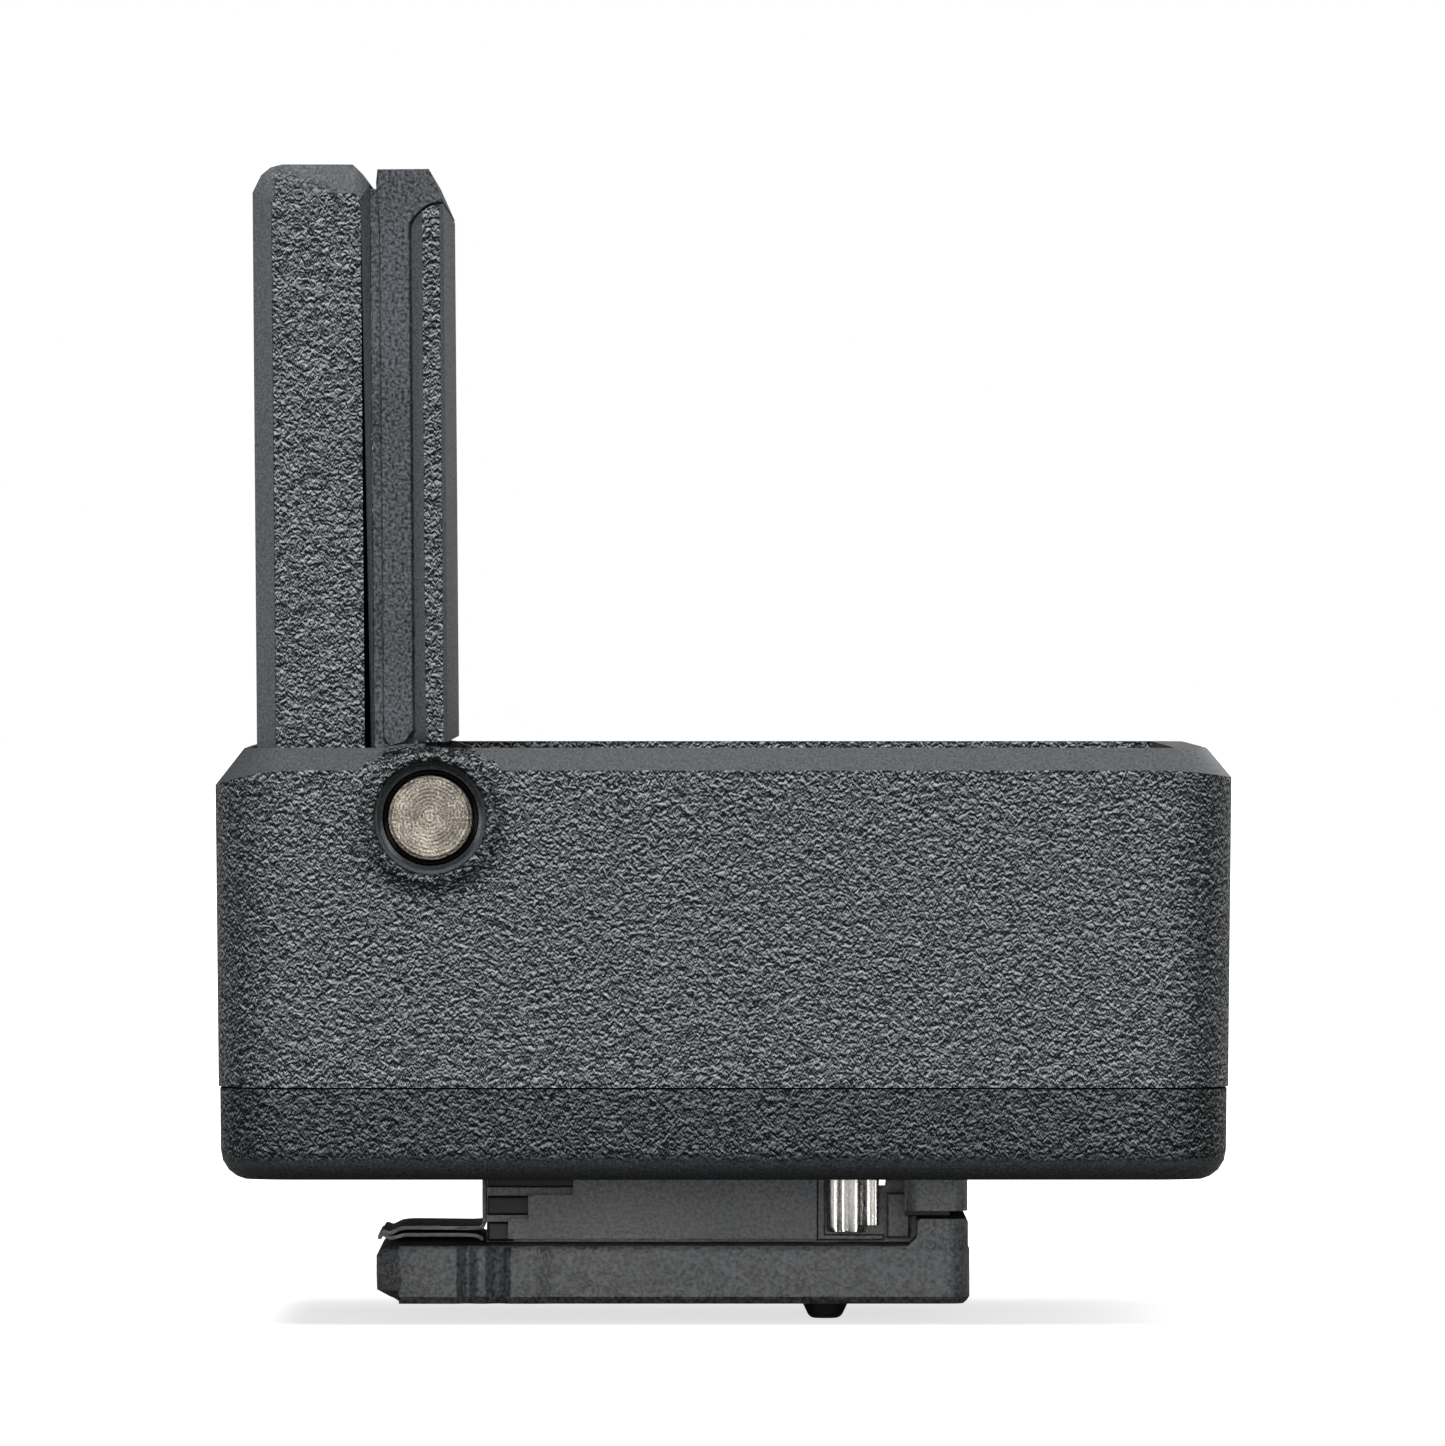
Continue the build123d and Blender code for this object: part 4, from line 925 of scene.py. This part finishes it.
def make_neck():
    low = FOOT_TOP + 0.03
    top = neck_high.z
    core = [(NECK_FRONT, low), (STOP_FRONT, low), (STOP_FRONT, top), (NECK_FRONT, top)]
    neck = side_block("shoe_neck", core, CORE_HALF)
    stairs = [(-5.64, low + 0.17), (-5.64, 2.77), (-4.95, 2.77), (-4.95, 3.6), (-3.39, 3.6), (-3.39, top)]
    stairs += [(4.91, top), (4.91, low + 0.17)]
    ledge_high = [(NECK_FRONT + 0.02, 2.95), (-4.9, 2.95), (-4.9, 3.62), (NECK_FRONT + 0.02, 3.62)]
    ledge_low = [(NECK_FRONT + 0.02, low + 0.02), (-5.5, low + 0.02), (-5.5, 2.72), (NECK_FRONT + 0.02, 2.72)]
    shelf = [(NECK_FRONT + 0.02, 3.9), (-3.3, 3.9), (-3.3, top), (NECK_FRONT + 0.02, top)]
    foot_of_spring = [(4.97, low + 0.05), (7.3, low + 0.05), (7.3, 2.3), (5.27, 2.3), (5.27, top), (4.97, top)]
    post = [(7.4, low + 0.15), (8.19, low + 0.15), (8.19, 3.73), (7.4, 3.73)]
    for outline, half in ((stairs, 6.1), (foot_of_spring, 5.8), (post, 6.1)):
        weld(neck, side_block("step", outline, half, chamfer=0.06))
    rear = plain_ring(8.0, neck_high.x, -8.3, 8.3, 0.5, 0)
    weld(neck, loft("rear_block", [[(x, y, z) for x, y, _ in rear] for z in (3.17, top)]))
    # painted shade: the pad and the ledges are painted black, standing in for the shade under the body
    pad = box_piece("neck_pad", (8.0, -7.3, STOP_TOP + 0.01), (neck_high.x - 0.6, 7.3, 3.3))
    pieces = [(neck, neck_plastic_painted_light), (pad, black_plastic_and_painted_shade)]
    ledges = (("ledge_high", ledge_high, 5.72), ("ledge_low", ledge_low, 5.72), ("shelf", shelf, 5.62))
    for name, outline, half in ledges:
        pieces.append((side_block(name, outline, half, chamfer=0.06), black_plastic_and_painted_shade))
    for y in PIN_ROWS:
        cut(neck, rod("pin_bore", (PIN_X, y, 1), 0.97, 5, "Z"))
    for x, y in FOOT_SCREWS:
        cut(neck, rod("screw_bore", (x, y, 1), 0.85, 5, "Z"))
    for piece, material in pieces:
        paint(piece, material)
        soften(piece, 0.045, segments=2)
        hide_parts("foot_neck")
        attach(piece, "base")


def ribbon(name, path, thick, half, ripple=0.0):
    """A thin strip that follows a side path (x, z), taken across the foot, with slightly wavy edges."""
    outer, inner = [], []
    for i, (x, z) in enumerate(path):
        ax, az = path[max(i - 1, 0)]
        bx, bz = path[min(i + 1, len(path) - 1)]
        length = hypot(bx - ax, bz - az)
        nx, nz = -(bz - az) / length * thick / 2, (bx - ax) / length * thick / 2
        outer.append((x + nx, z + nz))
        inner.append((x - nx, z - nz))
    outline = inner + outer[::-1]
    rings = []
    columns = 24
    for k in range(columns + 1):
        y = -half + 2 * half * k / columns
        lift = ripple * sin(k * 2.1) * cos(k * 0.7)
        rings.append([(x, y, z + lift * (1 if x < NECK_FRONT - 0.6 else 0)) for x, z in outline])
    return loft(name, rings)


def smooth_path(points, steps=5):
    """Extra points between the given ones, on a smooth curve through them."""
    path = []
    last = len(points) - 1
    for i in range(last):
        before, start, end, after = points[max(i - 1, 0)], points[i], points[i + 1], points[min(i + 2, last)]
        for k in range(steps):
            t = k / steps
            path.append(tuple(
                0.5 * (2 * b + (c - a) * t + (2 * a - 5 * b + 4 * c - d) * t * t + (3 * b - a - 3 * c + d) * t**3)
                for a, b, c, d in zip(before, start, end, after)
            ))
    return path + [points[-1]]


def make_sheet():
    """Two thin sheets along the tongue, the upper one bent up the neck, with curled tips."""
    front = NECK_FRONT - 0.1
    top = neck_high.z - 0.03
    tip = -FOOT_HALF
    curl = [(tip + 0.14, 2.2), (tip + 0.2, 2.36), (tip + 0.42, 2.3), (tip + 0.8, 2.46), (tip + 1.3, 2.49)]
    bend = [(front - 0.5, 2.47), (front - 0.12, 2.5), (front, 2.64), (front, 3.2), (front, top)]
    upper = smooth_path(curl, 4) + smooth_path(bend, 5)
    curl = [(tip + 0.06, 2.08), (tip + 0.05, 2.2), (tip + 0.18, 2.24), (tip + 0.45, 2.13), (tip + 0.9, 2.24)]
    bend = [(front - 0.6, 2.24), (front - 0.25, 2.2), (front - 0.03, 2.08)]
    lower = smooth_path(curl, 4) + smooth_path(bend, 3)
    sheet = ribbon("shoe_sheet", upper, 0.13, 4.6, ripple=0.012)
    second = ribbon("shoe_sheet_under", lower, 0.12, 4.62, ripple=0.015)
    for piece in (sheet, second):
        paint(piece, sheet_steel)
        soften(piece, 0.03, segments=2, angle=50)
        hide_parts("foot_sheet")
        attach(piece, "base")


def make_ground_springs():
    """A corrugated bright leaf on each side of the neck, with a tab hooked in behind it."""
    points = [(5.33, 0.05), (5.42, 0.34), (5.62, 0.46), (5.9, 0.34), (6.12, 0.52)]
    points += [(6.36, 0.6), (6.6, 0.42), (6.8, 0.36), (7.0, 0.5), (7.12, 0.42)]
    wave = smooth_path(points, 5)
    half = 0.08
    for side in (-1, 1):
        outline = []
        for shift, path in ((half, wave), (-half, wave[::-1])):
            outline += [(x, side * (CORE_HALF + 0.14 + y + shift)) for x, y in path]
        low, high = 2.39, neck_high.z - 0.06
        levels = [(low, 0.9), (low + 0.06, 0.3), (low + 0.16, 0.0), (3.2, 0.0), (3.4, 0.0), (high, 0.0)]
        middle = 6.2
        rings = [[(middle + (x - middle) * (1 - 0.07 * shrink), y, z) for x, y in outline] for z, shrink in levels]
        leaf = loft("spring_leaf", rings)
        # the lower rear corner is notched, and a lug at the top runs back past the post
        y0, y1 = sorted((side * (CORE_HALF - 1), side * (CORE_HALF + 2)))
        cut(leaf, box_piece("notch", (6.72, y0, 2), (8, y1, 2.62)))
        lug_y = sorted((side * (CORE_HALF + 0.34), side * (CORE_HALF + 0.5)))
        weld(leaf, box_piece("lug", (6.9, lug_y[0], 4.0), (7.34, lug_y[1], high - 0.01)))
        paint(leaf, chrome)
        soften(leaf, 0.03, segments=2, angle=40)
        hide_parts("ground_springs")
        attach(leaf, "base")


make_foot_plate()
make_neck()
make_sheet()
make_ground_springs()


def make_bushes():
    """Bushes in the side walls, set back behind the pins' ends: black plastic, made near black as painted shade in
    the holes round the pins.
    """
    for side in (-1, 1):
        profile = [(1.45, 17.72), (1.6, 17.7), (1.625, 17.76), (1.625, 18.35)]
        profile += [(1.59, 18.42), (1.5, 18.42), (1.45, 18.36)]
        bush = revolve("hinge_bush", [(r, side * y) for r, y in profile], (HINGE_X, 0, HINGE_Z))
        paint(bush, finishes["bush_plastic"])
        shade(bush)
        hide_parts("hinge_bushes")
        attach(bush, "base")


make_bushes()

# ---------------------------------------------------------------- camera, stage and light


def aim(thing, target):
    direction = Vector(target) - thing.location
    thing.rotation_euler = direction.to_track_quat("-Z", "Y").to_euler()


lens = bpy.data.cameras.new("camera")
lens.lens = 510.4
lens.sensor_width = 36
lens.clip_start = 0.05
lens.clip_end = 20
camera = bpy.data.objects.new("camera", lens)
camera.location = (0.000585, -0.715, 0.02386)
SCENE.collection.objects.link(camera)
aim(camera, (0.00172, 0, 0.01995))
SCENE.camera = camera

FLOOR_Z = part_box("contact_pin_1")[0].z / MM - 0.02


def make_floor():
    """A pale studio floor, as one large sheet with faint fibres in its colour."""
    reach = 3000
    made = bmesh.new()
    corners = [(-reach, -reach), (reach, -reach), (reach, reach), (-reach, reach)]
    made.faces.new([made.verts.new(Vector((x, y, FLOOR_Z)) * MM) for x, y in corners])
    mesh = bpy.data.meshes.new("studio_floor")
    made.to_mesh(mesh)
    made.free()
    floor = new_object("studio_floor", mesh)
    pale = Surface("pale_paper")
    fibre = pale.noise(3.0, detail=3)
    pale.link(pale.colours(fibre, [(0.3, (0.44, 0.44, 0.44)), (0.7, (0.47, 0.47, 0.47))]), "Base Color")
    pale.set(Roughness=0.95)
    pale.shader.inputs["Specular IOR Level"].default_value = 0.1
    path = pale.node("LightPath")
    pale.link(pale.span(path.outputs["Is Camera Ray"], 0.0, 1.0, 0.0, 0.72), "Emission Strength")
    pale.set(Emission_Color=(1, 1, 1, 1))
    floor.data.materials.append(pale.material)


def sun(name, origin, strength, softness):
    """Even light from the direction of origin; softness is the size of its source in degrees."""
    lamp = bpy.data.lights.new(name, "SUN")
    lamp.energy = strength
    lamp.angle = radians(softness)
    thing = bpy.data.objects.new(name, lamp)
    thing.location = origin
    SCENE.collection.objects.link(thing)
    aim(thing, (0, 0, 0))


def make_world(seen, ambient):
    """White surroundings: bright where the camera sees them, dim as a source of light."""
    world = bpy.data.worlds.new("studio")
    world.use_nodes = True
    nodes, links = world.node_tree.nodes, world.node_tree.links
    path = nodes.new("ShaderNodeLightPath")
    level = nodes.new("ShaderNodeMapRange")
    links.new(path.outputs["Is Camera Ray"], level.inputs["Value"])
    level.inputs["To Min"].default_value = ambient
    level.inputs["To Max"].default_value = seen
    nodes["Background"].inputs["Color"].default_value = (1, 1, 1, 1)
    links.new(level.outputs[0], nodes["Background"].inputs["Strength"])
    SCENE.world = world


make_floor()
make_world(1.0, 0.2)
SCENE.view_settings.view_transform = "Standard"
sun("key", (-0.1, -0.8, 0.55), 7, 16)
sun("front_fill", (0.03, -0.9, 0.02), 2.8, 32)
sun("top_light", (0.1, 0.1, 1), 1.2, 60)
sun("back_light", (0.5, 0.9, 0.7), 2.2, 50)
